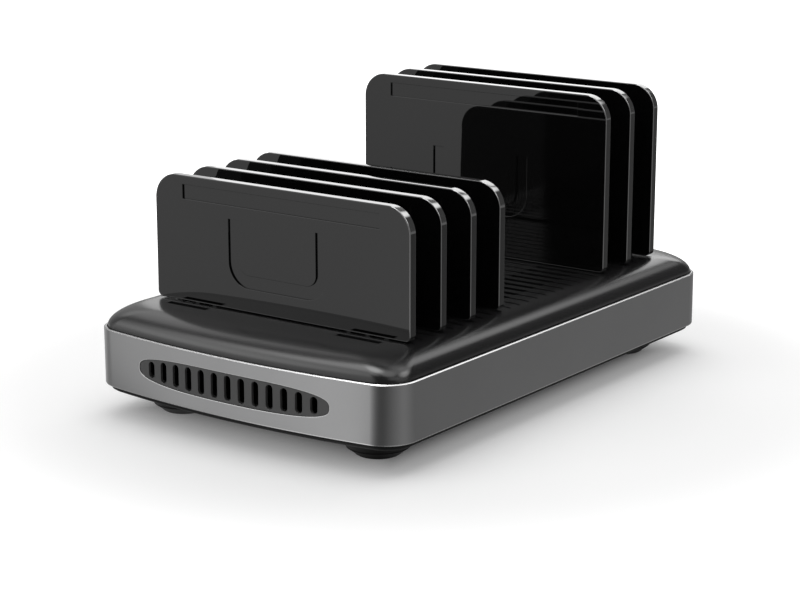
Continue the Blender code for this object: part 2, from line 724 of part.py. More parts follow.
def make_bottom_cover():
    """The bottom cover: a tray with a rim inside the band, cone bosses below and screw bosses inside."""
    step = BAND_BOTTOM + CLEARANCE
    low_inset = LIP_INSET + LIP_CHAMFER
    rings = [
        base_ring(low_inset, CORNER_RADIUS - low_inset, UNDERSIDE),
        base_ring(LIP_INSET, CORNER_RADIUS - LIP_INSET, UNDERSIDE + LIP_CHAMFER),
        base_ring(LIP_INSET, CORNER_RADIUS - LIP_INSET, step),
        base_ring(COVER_INSET, CORNER_RADIUS - COVER_INSET, step),
        base_ring(COVER_INSET, CORNER_RADIUS - COVER_INSET, RIM_TOP),
    ]
    tray = add_part("bottom_cover", loft_mesh("tray", rings), MATTE_BLACK)
    inside = base_outline(CAVITY_INSET, CORNER_RADIUS - CAVITY_INSET)
    cut(tray, plate_mesh("inside", [inside], FLOOR_TOP, RIM_TOP + OVERRUN), "inside")
    feet = foot_places().values()
    cones = [
        ((x, y, PAD_HEIGHT), (x, y, UNDERSIDE), PAD_RADIUS, FOOT_BOSS_RADIUS) for x, y in feet
    ]
    join(tray, cylinder_mesh("foot_cones", *cones, steps=PAD_STEPS), "foot_cones")
    bosses = [((x, y, UNDERSIDE + FUSE), (x, y, INNER_BOSS_TOP), INNER_BOSS_RADIUS) for x, y in feet]
    join(tray, cylinder_mesh("screw_bosses", *bosses), "screw_bosses")
    stands = [
        ((x, y, UNDERSIDE + FUSE), (x, y, FLOOR_TOP + BOARD_STAND), STANDOFF_RADIUS)
        for x, y in mains_screw_places()
    ]
    output_stand = OUTPUT_BOARD_TOP - BOARD_WALL - CLEARANCE
    stands += [
        ((x, y, UNDERSIDE + FUSE), (x, y, output_stand), STANDOFF_RADIUS) for x, y in output_screw_places()
    ]
    join(tray, cylinder_mesh("standoffs", *stands), "standoffs")
    wells = [((x, y, PAD_HEIGHT - OVERRUN), (x, y, SCREW_WELL_TOP), SCREW_WELL_RADIUS) for x, y in feet]
    cut(tray, cylinder_mesh("screw_wells", *wells), "screw_wells")
    hole = SCREW_RADIUS + CLEARANCE
    holes = [((x, y, PAD_HEIGHT), (x, y, INNER_BOSS_TOP + OVERRUN), hole) for x, y in feet]
    cut(tray, cylinder_mesh("screw_holes", *holes), "screw_holes")
    cut(tray, cylinder_mesh("board_screw_holes", *board_screw_holes()), "board_screw_holes")


def board_screw_holes():
    """The blind holes in the standoffs."""
    hole = BOARD_SCREW_RADIUS + CLEARANCE
    deep = BOARD_SCREW_LENGTH - BOARD_WALL
    places = [(x, y, FLOOR_TOP + BOARD_STAND) for x, y in mains_screw_places()]
    places += [(x, y, OUTPUT_BOARD_TOP - BOARD_WALL - CLEARANCE) for x, y in output_screw_places()]
    return [((x, y, top - deep), (x, y, top + OVERRUN), hole) for x, y, top in places]


def make_feet():
    """The rubber pads, each with a stud that plugs the screw well above it."""
    top = PAD_HEIGHT - CLEARANCE
    stud = SCREW_WELL_RADIUS - CLEARANCE
    stud_top = PAD_HEIGHT + PAD_STUD_HEIGHT - CLEARANCE
    profile = [
        (0, stud_top),
        (stud, stud_top),
        (stud, top),
        (PAD_RADIUS, top),
        (PAD_FOOT_RADIUS + PAD_EDGE, PAD_EDGE),
        (PAD_FOOT_RADIUS, 0),
        (0, 0),
    ]
    mesh = turned_mesh("pad", profile, PAD_STEPS)
    for name, (x, y) in foot_places().items():
        add_part(f"foot_{name}", mesh, RUBBER, (x, y, 0))


def screw_profile(head_radius, head_height, radius, length):
    """A cheese-head screw that points down from its seat at height 0."""
    head = [(0, head_height), (head_radius, head_height), (head_radius, 0)]
    return [*head, (radius, 0), (radius, -length), (0, -length)]


def make_case_screws():
    """The four screws that draw the covers together, driven up through the foot bosses."""
    profile = screw_profile(SCREW_HEAD_RADIUS, SCREW_HEAD_HEIGHT - CLEARANCE, SCREW_RADIUS, SCREW_LENGTH)
    mesh = turned_mesh("case_screw", profile, ROUND_STEPS)
    mesh.transform(Matrix.Rotation(math.pi, 4, "X"))
    for name, (x, y) in foot_places().items():
        add_part(f"case_screw_{name}", mesh, STEEL, (x, y, SCREW_WELL_TOP - CLEARANCE / 2))


def divider_mesh(name, height, loop_drop):
    """One divider: a plate with a bar and an open loop sunk in its face, and legs below."""
    half = DIVIDER_WIDTH / 2
    corners = (-half, 0), (half, height)
    outline = rounded_outline(*corners, DIVIDER_FOOT_RADIUS, DIVIDER_TOP_RADIUS, CORNER_STEPS)
    plate = plate_mesh(name, [outline], -DIVIDER_WALL / 2, DIVIDER_WALL / 2, "Y")
    divider = add_part(name, plate, GLOSS_BLACK)
    join(divider, box_mesh("legs", *leg_boxes()), "legs")
    front = -DIVIDER_WALL / 2
    bar_top = height - BAR_TOP_INSET
    bar_low = (BAR_END_INSET - half, front - OVERRUN, bar_top - BAR_HEIGHT)
    bar_high = (half - BAR_END_INSET, front + RECESS_DEPTH, bar_top)
    cut(divider, box_mesh("bar", (bar_low, bar_high)), "bar")
    loop = loop_outline(height - loop_drop)
    cut(divider, plate_mesh("loop", [loop], front - OVERRUN, front + RECESS_DEPTH, "Y"), "loop")
    return bake(divider)


def loop_outline(top):
    """A U of even width, open at the top."""
    outer, inner = LOOP_WIDTH / 2, LOOP_WIDTH / 2 - LOOP_BAND
    bottom = top - LOOP_HEIGHT
    radius, inner_radius = LOOP_RADIUS, LOOP_RADIUS - LOOP_BAND
    centre_x, centre_y = outer - radius, bottom + radius
    points = [(-outer, top)]
    points += arc((-centre_x, centre_y), radius, 180, 270, CORNER_STEPS)
    points += arc((centre_x, centre_y), radius, 270, 360, CORNER_STEPS)
    points += [(outer, top), (inner, top)]
    points += arc((centre_x, centre_y), inner_radius, 360, 270, CORNER_STEPS)
    points += arc((-centre_x, centre_y), inner_radius, 270, 180, CORNER_STEPS)
    points += [(-inner, top)]
    return points


def leg_boxes():
    """Three legs for each of the two sockets that a divider stands in."""
    deep = DIVIDER_LIFT + SOCKET_DEPTH - CLEARANCE
    half_wall = SOCKET_WIDTH / 2 - CLEARANCE
    first = SOCKET_START + CLEARANCE + LEG_WIDTH / 2
    step = (SOCKET_LENGTH - 2 * CLEARANCE - LEG_WIDTH) / (LEGS_PER_SOCKET - 1)
    boxes = []
    for side in (-1, 1):
        for k in range(LEGS_PER_SOCKET):
            x = side * (first + k * step)
            boxes.append(((x - LEG_WIDTH / 2, -half_wall, -deep), (x + LEG_WIDTH / 2, half_wall, FUSE)))
    return boxes


def make_dividers():
    """Four short dividers from the vent end, and three tall ones from the far end."""
    lift = DECK_TOP + DIVIDER_LIFT
    short = divider_mesh("short_divider", SHORT_HEIGHT, SHORT_LOOP_DROP)
    for k in range(SHORT_COUNT):
        add_part(f"short_divider_{k + 1}", short, GLOSS_BLACK, (0, row_place(2 + BAY_ROWS * k), lift))
    tall = divider_mesh("tall_divider", TALL_HEIGHT, TALL_LOOP_DROP)
    for k in range(TALL_COUNT):
        row = ROW_COUNT - 1 - BAY_ROWS * (TALL_COUNT - 1 - k)
        add_part(f"tall_divider_{k + 1}", tall, GLOSS_BLACK, (0, row_place(row), lift))


def make_bezel():
    """The port bezel: a strip behind the band whose raised middle fills the window."""
    half = port_window()
    low = (-half - BEZEL_FLANGE, RIM_TOP + CLEARANCE)
    high = (half + BEZEL_FLANGE, SKIRT_BOTTOM - CLEARANCE)
    corners = ((low[0], low[1]), (high[0], low[1]), (high[0], high[1]), (low[0], high[1]))
    strip = plate_mesh("strip", [corners], BEZEL_FACE, BEZEL_FACE + BEZEL_WALL, "X")
    bezel = add_part("port_bezel", strip, SATIN_BLACK)
    raised = rounded_outline(
        (-half + CLEARANCE, BAND_MIDDLE - PORT_WINDOW_HEIGHT / 2 + CLEARANCE),
        (half - CLEARANCE, BAND_MIDDLE + PORT_WINDOW_HEIGHT / 2 - CLEARANCE),
        WINDOW_RADIUS - CLEARANCE,
        WINDOW_RADIUS - CLEARANCE,
        WINDOW_STEPS,
    )
    join(bezel, plate_mesh("raised", [raised], BEZEL_FACE - BAND_WALL, BEZEL_FACE + FUSE, "X"), "raised")
    half_width, half_height = PORT_WIDTH / 2 - PORT_WALL, PORT_HEIGHT / 2 - PORT_WALL
    boxes = []
    for y in port_places():
        face = (BEZEL_FACE - BAND_WALL - OVERRUN, y - half_width, BAND_MIDDLE - half_height)
        boxes.append((face, (PORT_FACE, y + half_width, BAND_MIDDLE + half_height)))
    cut(bezel, box_mesh("openings", *boxes), "openings")


def make_ports():
    """Ten USB sockets: a metal shell round a contact tongue, open towards -X."""
    half_width, half_height = PORT_WIDTH / 2, PORT_HEIGHT / 2
    shell = box_mesh("shell", ((0, -half_width, -half_height), (PORT_DEPTH, half_width, half_height)))
    port = add_part("usb_port", shell, STEEL)
    inner_width, inner_height = half_width - PORT_WALL, half_height - PORT_WALL
    mouth = ((-OVERRUN, -inner_width, -inner_height), (PORT_DEPTH - PORT_BACK, inner_width, inner_height))
    cut(port, box_mesh("mouth", mouth), "mouth")
    bottom = TONGUE_RAISE - TONGUE_HEIGHT / 2
    tongue_low = (TONGUE_SETBACK, -TONGUE_WIDTH / 2, bottom)
    tongue_high = (PORT_DEPTH - PORT_BACK + FUSE, TONGUE_WIDTH / 2, bottom + TONGUE_HEIGHT)
    join(port, box_mesh("tongue", (tongue_low, tongue_high)), "tongue")
    mesh = bake(port)
    for k, y in enumerate(port_places()):
        add_part(f"usb_port_{k + 1:02d}", mesh, STEEL, (PORT_FACE, y, BAND_MIDDLE))


def make_output_board():
    """The output board: a strip under the ports with its corners cut clear of the posts."""
    half = port_window()
    left = PORT_FACE
    notch_x = -FOOT_X - POST_RADIUS - OVERRUN
    notch_y = FOOT_Y - POST_RADIUS - OVERRUN
    outline = [
        (left, -half),
        (notch_x, -half),
        (notch_x, -notch_y),
        (OUTPUT_BOARD_EDGE, -notch_y),
        (OUTPUT_BOARD_EDGE, notch_y),
        (notch_x, notch_y),
        (notch_x, half),
        (left, half),
    ]
    board = plate_mesh("output", [outline], OUTPUT_BOARD_TOP - BOARD_WALL, OUTPUT_BOARD_TOP)
    part = add_part("output_board", board, BOARD_GREEN)
    hole = BOARD_SCREW_RADIUS + CLEARANCE
    low, high = OUTPUT_BOARD_TOP - BOARD_WALL - OVERRUN, OUTPUT_BOARD_TOP + OVERRUN
    holes = [((x, y, low), (x, y, high), hole) for x, y in output_screw_places()]
    cut(part, cylinder_mesh("holes", *holes), "holes")


def make_mains_board():
    """The mains board on its four standoffs."""
    low, high = (*MAINS_BOARD_LOW, MAINS_BOARD_BOTTOM), (*MAINS_BOARD_HIGH, MAINS_BOARD_TOP)
    part = add_part("mains_board", box_mesh("mains", (low, high)), BOARD_GREEN)
    hole = BOARD_SCREW_RADIUS + CLEARANCE
    under, over = MAINS_BOARD_BOTTOM - OVERRUN, MAINS_BOARD_TOP + OVERRUN
    holes = [((x, y, under), (x, y, over), hole) for x, y in mains_screw_places()]
    cut(part, cylinder_mesh("holes", *holes), "holes")


def make_board_screws():
    """The screws that hold both boards."""
    profile = screw_profile(
        BOARD_SCREW_HEAD_RADIUS, BOARD_SCREW_HEAD_HEIGHT, BOARD_SCREW_RADIUS, BOARD_SCREW_LENGTH - CLEARANCE
    )
    mesh = turned_mesh("board_screw", profile, ROUND_STEPS)
    for k, (x, y) in enumerate(mains_screw_places()):
        add_part(f"mains_board_screw_{k + 1}", mesh, STEEL, (x, y, MAINS_BOARD_TOP + CLEARANCE))
    for k, (x, y) in enumerate(output_screw_places()):
        add_part(f"output_board_screw_{k + 1}", mesh, STEEL, (x, y, OUTPUT_BOARD_TOP + CLEARANCE))


def make_transformer():
    """The transformer: a ferrite core with two windows, and a winding round its middle leg."""
    width, depth, height = CORE_SIZE
    x, y = (COMPONENTS_LEFT + COMPONENTS_RIGHT) / 2, along_board(MIDDLE_ROW_SHARE)
    place = (x, y, COMPONENT_BASE)
    core = box_mesh("core", ((-width / 2, -depth / 2, 0), (width / 2, depth / 2, height)))
    part = add_part("transformer_core", core, FERRITE, place)
    gap_low, gap_high = CORE_YOKE, height - CORE_YOKE
    near, far = CORE_LEG / 2, width / 2 - CORE_LEG / 2
    reach = depth / 2 + OVERRUN
    windows = [
        ((near, -reach, gap_low), (far, reach, gap_high)),
        ((-far, -reach, gap_low), (-near, reach, gap_high)),
    ]
    guide = box_mesh("windows", *windows)
    guide.transform(Matrix.Translation(place))
    cut(part, guide, "windows")
    side = far - CLEARANCE
    out = depth / 2 + WINDING_OVERHANG
    low, high = gap_low + CLEARANCE, gap_high - CLEARANCE
    block = box_mesh("winding", ((-side, -out, low), (side, out, high)))
    winding = add_part("transformer_winding", block, TAPE_YELLOW, place)
    leg_x, leg_y = near + CLEARANCE, depth / 2 + CLEARANCE
    hole = box_mesh("hole", ((-leg_x, -leg_y, low - OVERRUN), (leg_x, leg_y, high + OVERRUN)))
    hole.transform(Matrix.Translation(place))
    cut(winding, hole, "hole")


def upright_pair(name, radius, height, places):
    """Two round capacitors that stand on the board."""
    mesh = cylinder_mesh(name, ((0, 0, 0), (0, 0, height), radius), steps=COMPONENT_STEPS)
    for k, (x, y) in enumerate(places):
        add_part(f"{name}_{k + 1}", mesh, SLEEVE_BLACK, (x, y, COMPONENT_BASE))


def make_capacitors():
    """The two bulk capacitors, one behind the other, the two output capacitors and the film one."""
    x, y = COMPONENTS_RIGHT - BULK_RADIUS, along_board(BACK_ROW_SHARE)
    step = BULK_RADIUS + COMPONENT_GAP / 2
    upright_pair("bulk_capacitor", BULK_RADIUS, BULK_HEIGHT, ((x, y - step), (x, y + step)))
    x, y = (COMPONENTS_LEFT + COMPONENTS_RIGHT) / 2, along_board(FRONT_ROW_SHARE)
    step = OUTPUT_CAP_RADIUS + COMPONENT_GAP / 2
    upright_pair("output_capacitor", OUTPUT_CAP_RADIUS, OUTPUT_CAP_HEIGHT, ((x - step, y), (x + step, y)))
    width, depth, height = FILM_SIZE
    case = box_mesh("film", ((-width / 2, -depth / 2, 0), (width / 2, depth / 2, height)))
    place = (film_place(), along_board(BACK_ROW_SHARE), COMPONENT_BASE)
    add_part("film_capacitor", case, TAPE_YELLOW, place)


def film_place():
    """The film capacitor's place across the board, beside the choke."""
    return COMPONENTS_LEFT + 2 * (CHOKE_RADIUS + CHOKE_WIRE) + COMPONENT_GAP + FILM_SIZE[0] / 2


def make_choke():
    """The common mode choke: a wound ring that lies on the board."""
    bpy.ops.mesh.primitive_torus_add(
        major_radius=CHOKE_RADIUS,
        minor_radius=CHOKE_WIRE,
        major_segments=ROUND_STEPS,
        minor_segments=CHOKE_WIRE_STEPS,
    )
    ring = bpy.context.object
    mesh = ring.data
    bpy.data.objects.remove(ring, do_unlink=True)
    x = COMPONENTS_LEFT + CHOKE_RADIUS + CHOKE_WIRE
    place = (x, along_board(BACK_ROW_SHARE), COMPONENT_BASE + CHOKE_WIRE)
    add_part("common_mode_choke", mesh, COPPER, place)


def make_fuse():
    """The fuse, which lies across the board."""
    half = FUSE_LENGTH / 2
    mesh = cylinder_mesh("fuse", ((-half, 0, 0), (half, 0, 0), FUSE_RADIUS), steps=COMPONENT_STEPS)
    place = (film_place(), along_board(FUSE_ROW_SHARE), COMPONENT_BASE + FUSE_RADIUS)
    add_part("fuse", mesh, FUSE_WHITE, place)


def heatsink_outline():
    """A comb of fins that stand on a base, seen from the end."""
    width, _, height = HEATSINK_SIZE
    pitch = (width - HEATSINK_FIN) / (HEATSINK_FINS - 1)
    points = [(-width / 2, 0), (width / 2, 0)]
    for k in reversed(range(HEATSINK_FINS)):
        left = k * pitch - width / 2
        points += [(left + HEATSINK_FIN, height), (left, height)]
        if k:
            points += [(left, HEATSINK_BASE), (left - pitch + HEATSINK_FIN, HEATSINK_BASE)]
    return points


def make_heatsinks():
    """The finned heat sinks at both sides of the transformer."""
    width, length, _ = HEATSINK_SIZE
    mesh = plate_mesh("heatsink", [heatsink_outline()], -length / 2, length / 2, "Y")
    y = along_board(MIDDLE_ROW_SHARE)
    add_part("primary_heatsink", mesh, SINK_METAL, (COMPONENTS_RIGHT - width / 2, y, COMPONENT_BASE))
    add_part("secondary_heatsink", mesh, SINK_METAL, (COMPONENTS_LEFT + width / 2, y, COMPONENT_BASE))


def make_rear_panel():
    """The flat panel behind the rear window, with openings for the inlet and the switch."""
    half = REAR_WINDOW_LENGTH / 2 + PANEL_FLANGE
    low, high = RIM_TOP + CLEARANCE, SKIRT_BOTTOM - CLEARANCE
    plate = box_mesh("panel", ((-half, REAR_FACE - PANEL_WALL, low), (half, REAR_FACE, high)))
    panel = add_part("rear_panel", plate, SATIN_BLACK)
    half_height = FITTING_HEIGHT / 2 + CLEARANCE
    boxes = []
    for centre, width in ((INLET_OFFSET, INLET_WIDTH), (-SWITCH_OFFSET, SWITCH_WIDTH)):
        reach = width / 2 + CLEARANCE
        boxes.append(
            (
                (centre - reach, REAR_FACE - PANEL_WALL - OVERRUN, BAND_MIDDLE - half_height),
                (centre + reach, REAR_FACE + OVERRUN, BAND_MIDDLE + half_height),
            )
        )
    cut(panel, box_mesh("openings", *boxes), "openings")


def fitting_mesh(name, width, depth):
    """A box that snaps into the panel from outside, with a flange over the panel's face."""
    half, half_height = width / 2, FITTING_HEIGHT / 2
    body = box_mesh(name, ((-half, -depth, -half_height), (half, 0, half_height)))
    part = add_part(name, body, MATTE_BLACK)
    edge, flange_half = half + FITTING_FLANGE_EDGE, FITTING_FLANGE_HEIGHT / 2
    flange = ((-edge, -FITTING_FLANGE_WALL, -flange_half), (edge, 0, flange_half))
    join(part, box_mesh("flange", flange), "flange")
    return part


def make_inlet():
    """The two-pin mains inlet: a shroud with a round-ended mouth, and two pins."""
    part = fitting_mesh("ac_inlet", INLET_WIDTH, INLET_DEPTH)
    radius = INLET_MOUTH_HEIGHT / 2
    low, high = (-INLET_MOUTH_WIDTH / 2, -radius), (INLET_MOUTH_WIDTH / 2, radius)
    slack = radius - WELD_DISTANCE
    mouth = rounded_outline(low, high, slack, slack, CORNER_STEPS)
    cut(part, plate_mesh("mouth", [mouth], -INLET_MOUTH_DEPTH, OVERRUN, "Y"), "mouth")
    half = PIN_SPACING / 2
    hole = PIN_RADIUS + CLEARANCE
    back, inner = -INLET_DEPTH - OVERRUN, -INLET_MOUTH_DEPTH + OVERRUN
    holes = [((x, back, 0), (x, inner, 0), hole) for x in (-half, half)]
    cut(part, cylinder_mesh("pin_holes", *holes), "pin_holes")
    mesh = bake(part)
    add_part("ac_inlet", mesh, MATTE_BLACK, (INLET_OFFSET, FITTING_FACE, BAND_MIDDLE))
    pin = cylinder_mesh("pin", ((0, -INLET_DEPTH - PIN_TAIL, 0), (0, -PIN_SETBACK, 0), PIN_RADIUS))
    for name, x in (("left", -half), ("right", half)):
        add_part(f"inlet_pin_{name}", pin, BRASS, (INLET_OFFSET + x, FITTING_FACE, BAND_MIDDLE))


def make_switch():
    """The rocker switch: a housing with a well and two terminals, and a rocker on trunnions."""
    part = fitting_mesh("switch_housing", SWITCH_WIDTH, SWITCH_DEPTH)
    half, half_height = SWITCH_WELL_WIDTH / 2, SWITCH_WELL_HEIGHT / 2
    well = ((-half, -SWITCH_WELL_DEPTH, -half_height), (half, OVERRUN, half_height))
    cut(part, box_mesh("well", well), "well")
    pivot = -ROCKER_PIVOT_DEPTH
    reach = FITTING_FLANGE_HEIGHT / 2 + OVERRUN
    bore = ((0, pivot, -reach), (0, pivot, reach), TRUNNION_RADIUS + CLEARANCE)
    cut(part, cylinder_mesh("bore", bore, steps=TRUNNION_STEPS), "bore")
    terminals = []
    for x in (-TERMINAL_SPACING / 2, TERMINAL_SPACING / 2):
        low = (x - TERMINAL_WALL / 2, -SWITCH_DEPTH - TERMINAL_LENGTH, -half_height / 2)
        terminals.append((low, (x + TERMINAL_WALL / 2, FUSE - SWITCH_DEPTH, half_height / 2)))
    join(part, box_mesh("terminals", *terminals), "terminals")
    mesh = bake(part)
    add_part("switch_housing", mesh, MATTE_BLACK, (-SWITCH_OFFSET, FITTING_FACE, BAND_MIDDLE))
    rocker_half = half_height - CLEARANCE
    plate = plate_mesh("rocker", [rocker_outline()], -rocker_half, rocker_half)
    rocker = add_part("rocker", plate, GLOSS_BLACK)
    pin = ((0, 0, -rocker_half - TRUNNION_LENGTH), (0, 0, rocker_half + TRUNNION_LENGTH), TRUNNION_RADIUS)
    join(rocker, cylinder_mesh("trunnions", pin, steps=TRUNNION_STEPS), "trunnions")
    mesh = bake(rocker)
    place = (-SWITCH_OFFSET, FITTING_FACE - ROCKER_PIVOT_DEPTH, BAND_MIDDLE)
    lever = add_part("switch_rocker", mesh, GLOSS_BLACK, place)
    lever.rotation_euler.z = -ROCKER_TILT


def rocker_outline():
    """The rocker's section: a face with a shallow valley, shoulders and a narrow heel."""
    half, heel = ROCKER_HALF_LENGTH, ROCKER_HEEL_WIDTH / 2
    return [
        (-half, -ROCKER_SHOULDER),
        (-heel, -ROCKER_HEEL),
        (heel, -ROCKER_HEEL),
        (half, -ROCKER_SHOULDER),
        (half, ROCKER_CREST),
        (0, ROCKER_VALLEY),
        (-half, ROCKER_CREST),
    ]


def smooth_route(route):
    """Points along a smooth curve through a route's own points."""
    points = [Vector(point) for point in route]
    points = [2 * points[0] - points[1], *points, 2 * points[-1] - points[-2]]
    smooth = []
    for before, start, end, after in zip(points, points[1:], points[2:], points[3:]):
        for k in range(LEAD_STEPS):
            t = k / LEAD_STEPS
            bend = 2 * before - 5 * start + 4 * end - after
            twist = 3 * start - before - 3 * end + after
            smooth.append((2 * start + (end - before) * t + bend * t**2 + twist * t**3) / 2)
    smooth.append(points[-2])
    return smooth


def add_lead(name, route, material):
    """An insulated lead as a round tube along a route."""
    points = smooth_route(route)
    curve = bpy.data.curves.new(name, "CURVE")
    curve.dimensions = "3D"
    curve.bevel_depth = LEAD_RADIUS
    curve.bevel_resolution = 2
    curve.use_fill_caps = True
    spline = curve.splines.new("POLY")
    spline.points.add(len(points) - 1)
    for point, place in zip(spline.points, points):
        point.co = (*place, 1)
    curve.materials.append(material)
    PARTS.objects.link(bpy.data.objects.new(name, curve))


def make_leads():
    """Mains leads from the inlet and the switch to the board, and the low voltage pair."""
    z = BAND_MIDDLE
    pin_y = FITTING_FACE - INLET_DEPTH - PIN_TAIL - CLEARANCE
    tab_y = FITTING_FACE - SWITCH_DEPTH - TERMINAL_LENGTH - CLEARANCE
    pin_left, pin_right = INLET_OFFSET - PIN_SPACING / 2, INLET_OFFSET + PIN_SPACING / 2
    tab_left, tab_right = -SWITCH_OFFSET - TERMINAL_SPACING / 2, -SWITCH_OFFSET + TERMINAL_SPACING / 2
    back = pin_y - 2 * LEAD_BEND
    route = [
        (pin_left, pin_y, z),
        (pin_left, pin_y - LEAD_BEND, z),
        (pin_left - LEAD_BEND, back, z),
        (tab_right + LEAD_BEND, back, z),
        (tab_right, pin_y - LEAD_BEND, z),
        (tab_right, tab_y, z),
    ]
    add_lead("live_lead", route, LEAD_BROWN)
    edge = along_board(LANDING_ROW_SHARE)
    for name, x, y, share, material in (
        ("switched_lead", tab_left, tab_y, SWITCHED_LANDING_SHARE, LEAD_BROWN),
        ("neutral_lead", pin_right, pin_y, NEUTRAL_LANDING_SHARE, LEAD_BLUE),
    ):
        landing = across_board(share)
        route = [
            (x, y, z),
            (x, y - LEAD_BEND, z),
            (landing, edge + LEAD_BEND, COMPONENT_BASE + LEAD_RISE),
            (landing, edge, COMPONENT_BASE + LEAD_RISE / 2),
            (landing, edge, COMPONENT_BASE),
        ]
        add_lead(name, route, material)
    near = OUTPUT_BOARD_EDGE - OUTPUT_BOARD_STRIP / 2
    shelf = OUTPUT_BOARD_TOP + CLEARANCE
    top = shelf + LEAD_RISE
    for name, y, material in (
        ("dc_lead_positive", -DC_LEAD_SPACING / 2, LEAD_RED),
        ("dc_lead_negative", DC_LEAD_SPACING / 2, LEAD_BLACK),
    ):
        route = [
            (near, y, shelf),
            (near, y, shelf + LEAD_RISE / 2),
            ((near + DC_LANDING) / 2, y, top),
            (DC_LANDING, y, shelf),
            (DC_LANDING, y, COMPONENT_BASE),
        ]
        add_lead(name, route, material)


def shade_round_parts():
    """Smooth shading with sharp edges kept."""
    for part in PARTS.objects:
        if part.type == "MESH":
            part.data.shade_smooth()
            part.data.set_sharp_from_angle(angle=math.radians(35))


make_bottom_cover()
make_band()
make_top_cover()
make_grille()
make_feet()
make_case_screws()
make_dividers()
make_bezel()
make_ports()
make_output_board()
make_mains_board()
make_board_screws()
make_transformer()
make_capacitors()
make_choke()
make_fuse()
make_heatsinks()
make_rear_panel()
make_inlet()
make_switch()
make_leads()
shade_round_parts()
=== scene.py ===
"""A desktop USB charging station with seven lift-out dividers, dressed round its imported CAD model.

X runs across the base, Y along it and Z up. The vent looks along -Y, the ports along -X, and the
mains inlet and the switch along +Y. Each section below is one piece of the real object, in the
order in which it is put together.
"""

import math

import bmesh
import bpy
from mathutils import Matrix, Vector


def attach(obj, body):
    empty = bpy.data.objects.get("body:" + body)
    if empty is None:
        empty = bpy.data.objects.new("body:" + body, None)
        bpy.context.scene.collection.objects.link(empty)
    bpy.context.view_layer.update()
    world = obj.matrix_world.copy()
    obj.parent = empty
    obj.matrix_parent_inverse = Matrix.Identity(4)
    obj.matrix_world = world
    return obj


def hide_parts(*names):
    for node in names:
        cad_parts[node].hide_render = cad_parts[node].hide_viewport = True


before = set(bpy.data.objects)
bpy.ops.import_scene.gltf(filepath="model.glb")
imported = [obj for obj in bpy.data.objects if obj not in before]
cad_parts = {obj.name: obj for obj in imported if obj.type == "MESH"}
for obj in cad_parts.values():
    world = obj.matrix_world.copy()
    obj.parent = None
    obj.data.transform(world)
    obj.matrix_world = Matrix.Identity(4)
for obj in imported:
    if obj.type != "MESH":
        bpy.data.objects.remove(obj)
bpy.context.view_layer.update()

# The camera: a long lens from the front right, a little above the deck, with the small turn and
# shift of the frame that the photograph has.
MM = 0.001
view_azimuth = math.radians(35.407)
view_elevation = math.radians(13.918)
view_roll = math.radians(0.198)
looked_at = Vector((-3.014, 12.59, 30.775)) * MM
stand_off = 826.22 * MM

back = Vector(
    (
        math.sin(view_azimuth) * math.cos(view_elevation),
        -math.cos(view_azimuth) * math.cos(view_elevation),
        math.sin(view_elevation),
    )
)
sideways = Vector((math.cos(view_azimuth), math.sin(view_azimuth), 0))
upright = back.cross(sideways)
right = sideways * math.cos(view_roll) + upright * math.sin(view_roll)
up = upright * math.cos(view_roll) - sideways * math.sin(view_roll)
turn = Matrix((right, up, back)).transposed().to_euler()
bpy.ops.object.camera_add(location=looked_at + back * stand_off, rotation=turn)
camera = bpy.context.object
camera.data.sensor_width = 36
camera.data.lens = 95.71
camera.data.shift_x = -0.0336
camera.data.shift_y = -0.0092
bpy.context.scene.camera = camera
bpy.context.scene.view_settings.view_transform = "Standard"


# The studio: a white floor with painted shade under and round the base, where its glow fades out,
# as well as the lamps' own shadows; two broad soft lamps; and soft boxes and two upright panels of
# light that glossy surfaces alone mirror. In those mirrors the floor is lighter or darker by its bearing.
class Tone:
    """A number or colour in a node tree. Arithmetic on it adds Math nodes."""

    def __init__(self, tree, socket=None):
        self.tree = tree
        self.socket = socket

    def node(self, kind, settings=None, values=None, output=0):
        """Another node of the tree: its settings first, then the values or links of its sockets."""
        made = self.tree.nodes.new(kind)
        for key, value in (settings or {}).items():
            if key == "stops":
                marks = made.color_ramp.elements
                while len(marks) < len(value):
                    marks.new(1)
                for mark, (position, shade) in zip(marks, value):
                    mark.position = position
                    mark.color = (shade, shade, shade, 1)
            else:
                setattr(made, key, value)
        for key, value in (values or {}).items():
            if isinstance(value, Tone):
                self.tree.links.new(value.socket, made.inputs[key])
            else:
                made.inputs[key].default_value = value
        return Tone(self.tree, made.outputs[output])

    def math(self, operation, first, second):
        """A Math node."""
        return self.node("ShaderNodeMath", {"operation": operation}, {0: first, 1: second})

    def __add__(self, other):
        return self.math("ADD", self, other)

    def __radd__(self, other):
        return self.math("ADD", other, self)

    def __sub__(self, other):
        return self.math("SUBTRACT", self, other)

    def __rsub__(self, other):
        return self.math("SUBTRACT", other, self)

    def __mul__(self, other):
        return self.math("MULTIPLY", self, other)

    def __rmul__(self, other):
        return self.math("MULTIPLY", other, self)


def new_material(name, **constants):
    """A Principled material whose even values sit on the shader's own sockets."""
    material = bpy.data.materials.new(name)
    material.use_nodes = True
    shader = material.node_tree.nodes["Principled BSDF"]
    for key, value in constants.items():
        shader.inputs[key.replace("_", " ")].default_value = value
    return material, Tone(material.node_tree), shader


def feed(shader, socket, tone):
    """Lets a tone drive one of the shader's sockets."""
    tone.tree.links.new(tone.socket, shader.inputs[socket])


def toward(azimuth, elevation):
    """A direction. Azimuth 0 is straight in front of the vent and 90 is to the right."""
    azimuth, elevation = math.radians(azimuth), math.radians(elevation)
    flat = math.cos(elevation)
    return Vector((math.sin(azimuth) * flat, -math.cos(azimuth) * flat, math.sin(elevation)))


def ray_kind(start, kind):
    """1 for one kind of ray and 0 for the others."""
    return Tone(start.tree, start.tree.nodes.new("ShaderNodeLightPath").outputs[f"Is {kind} Ray"])


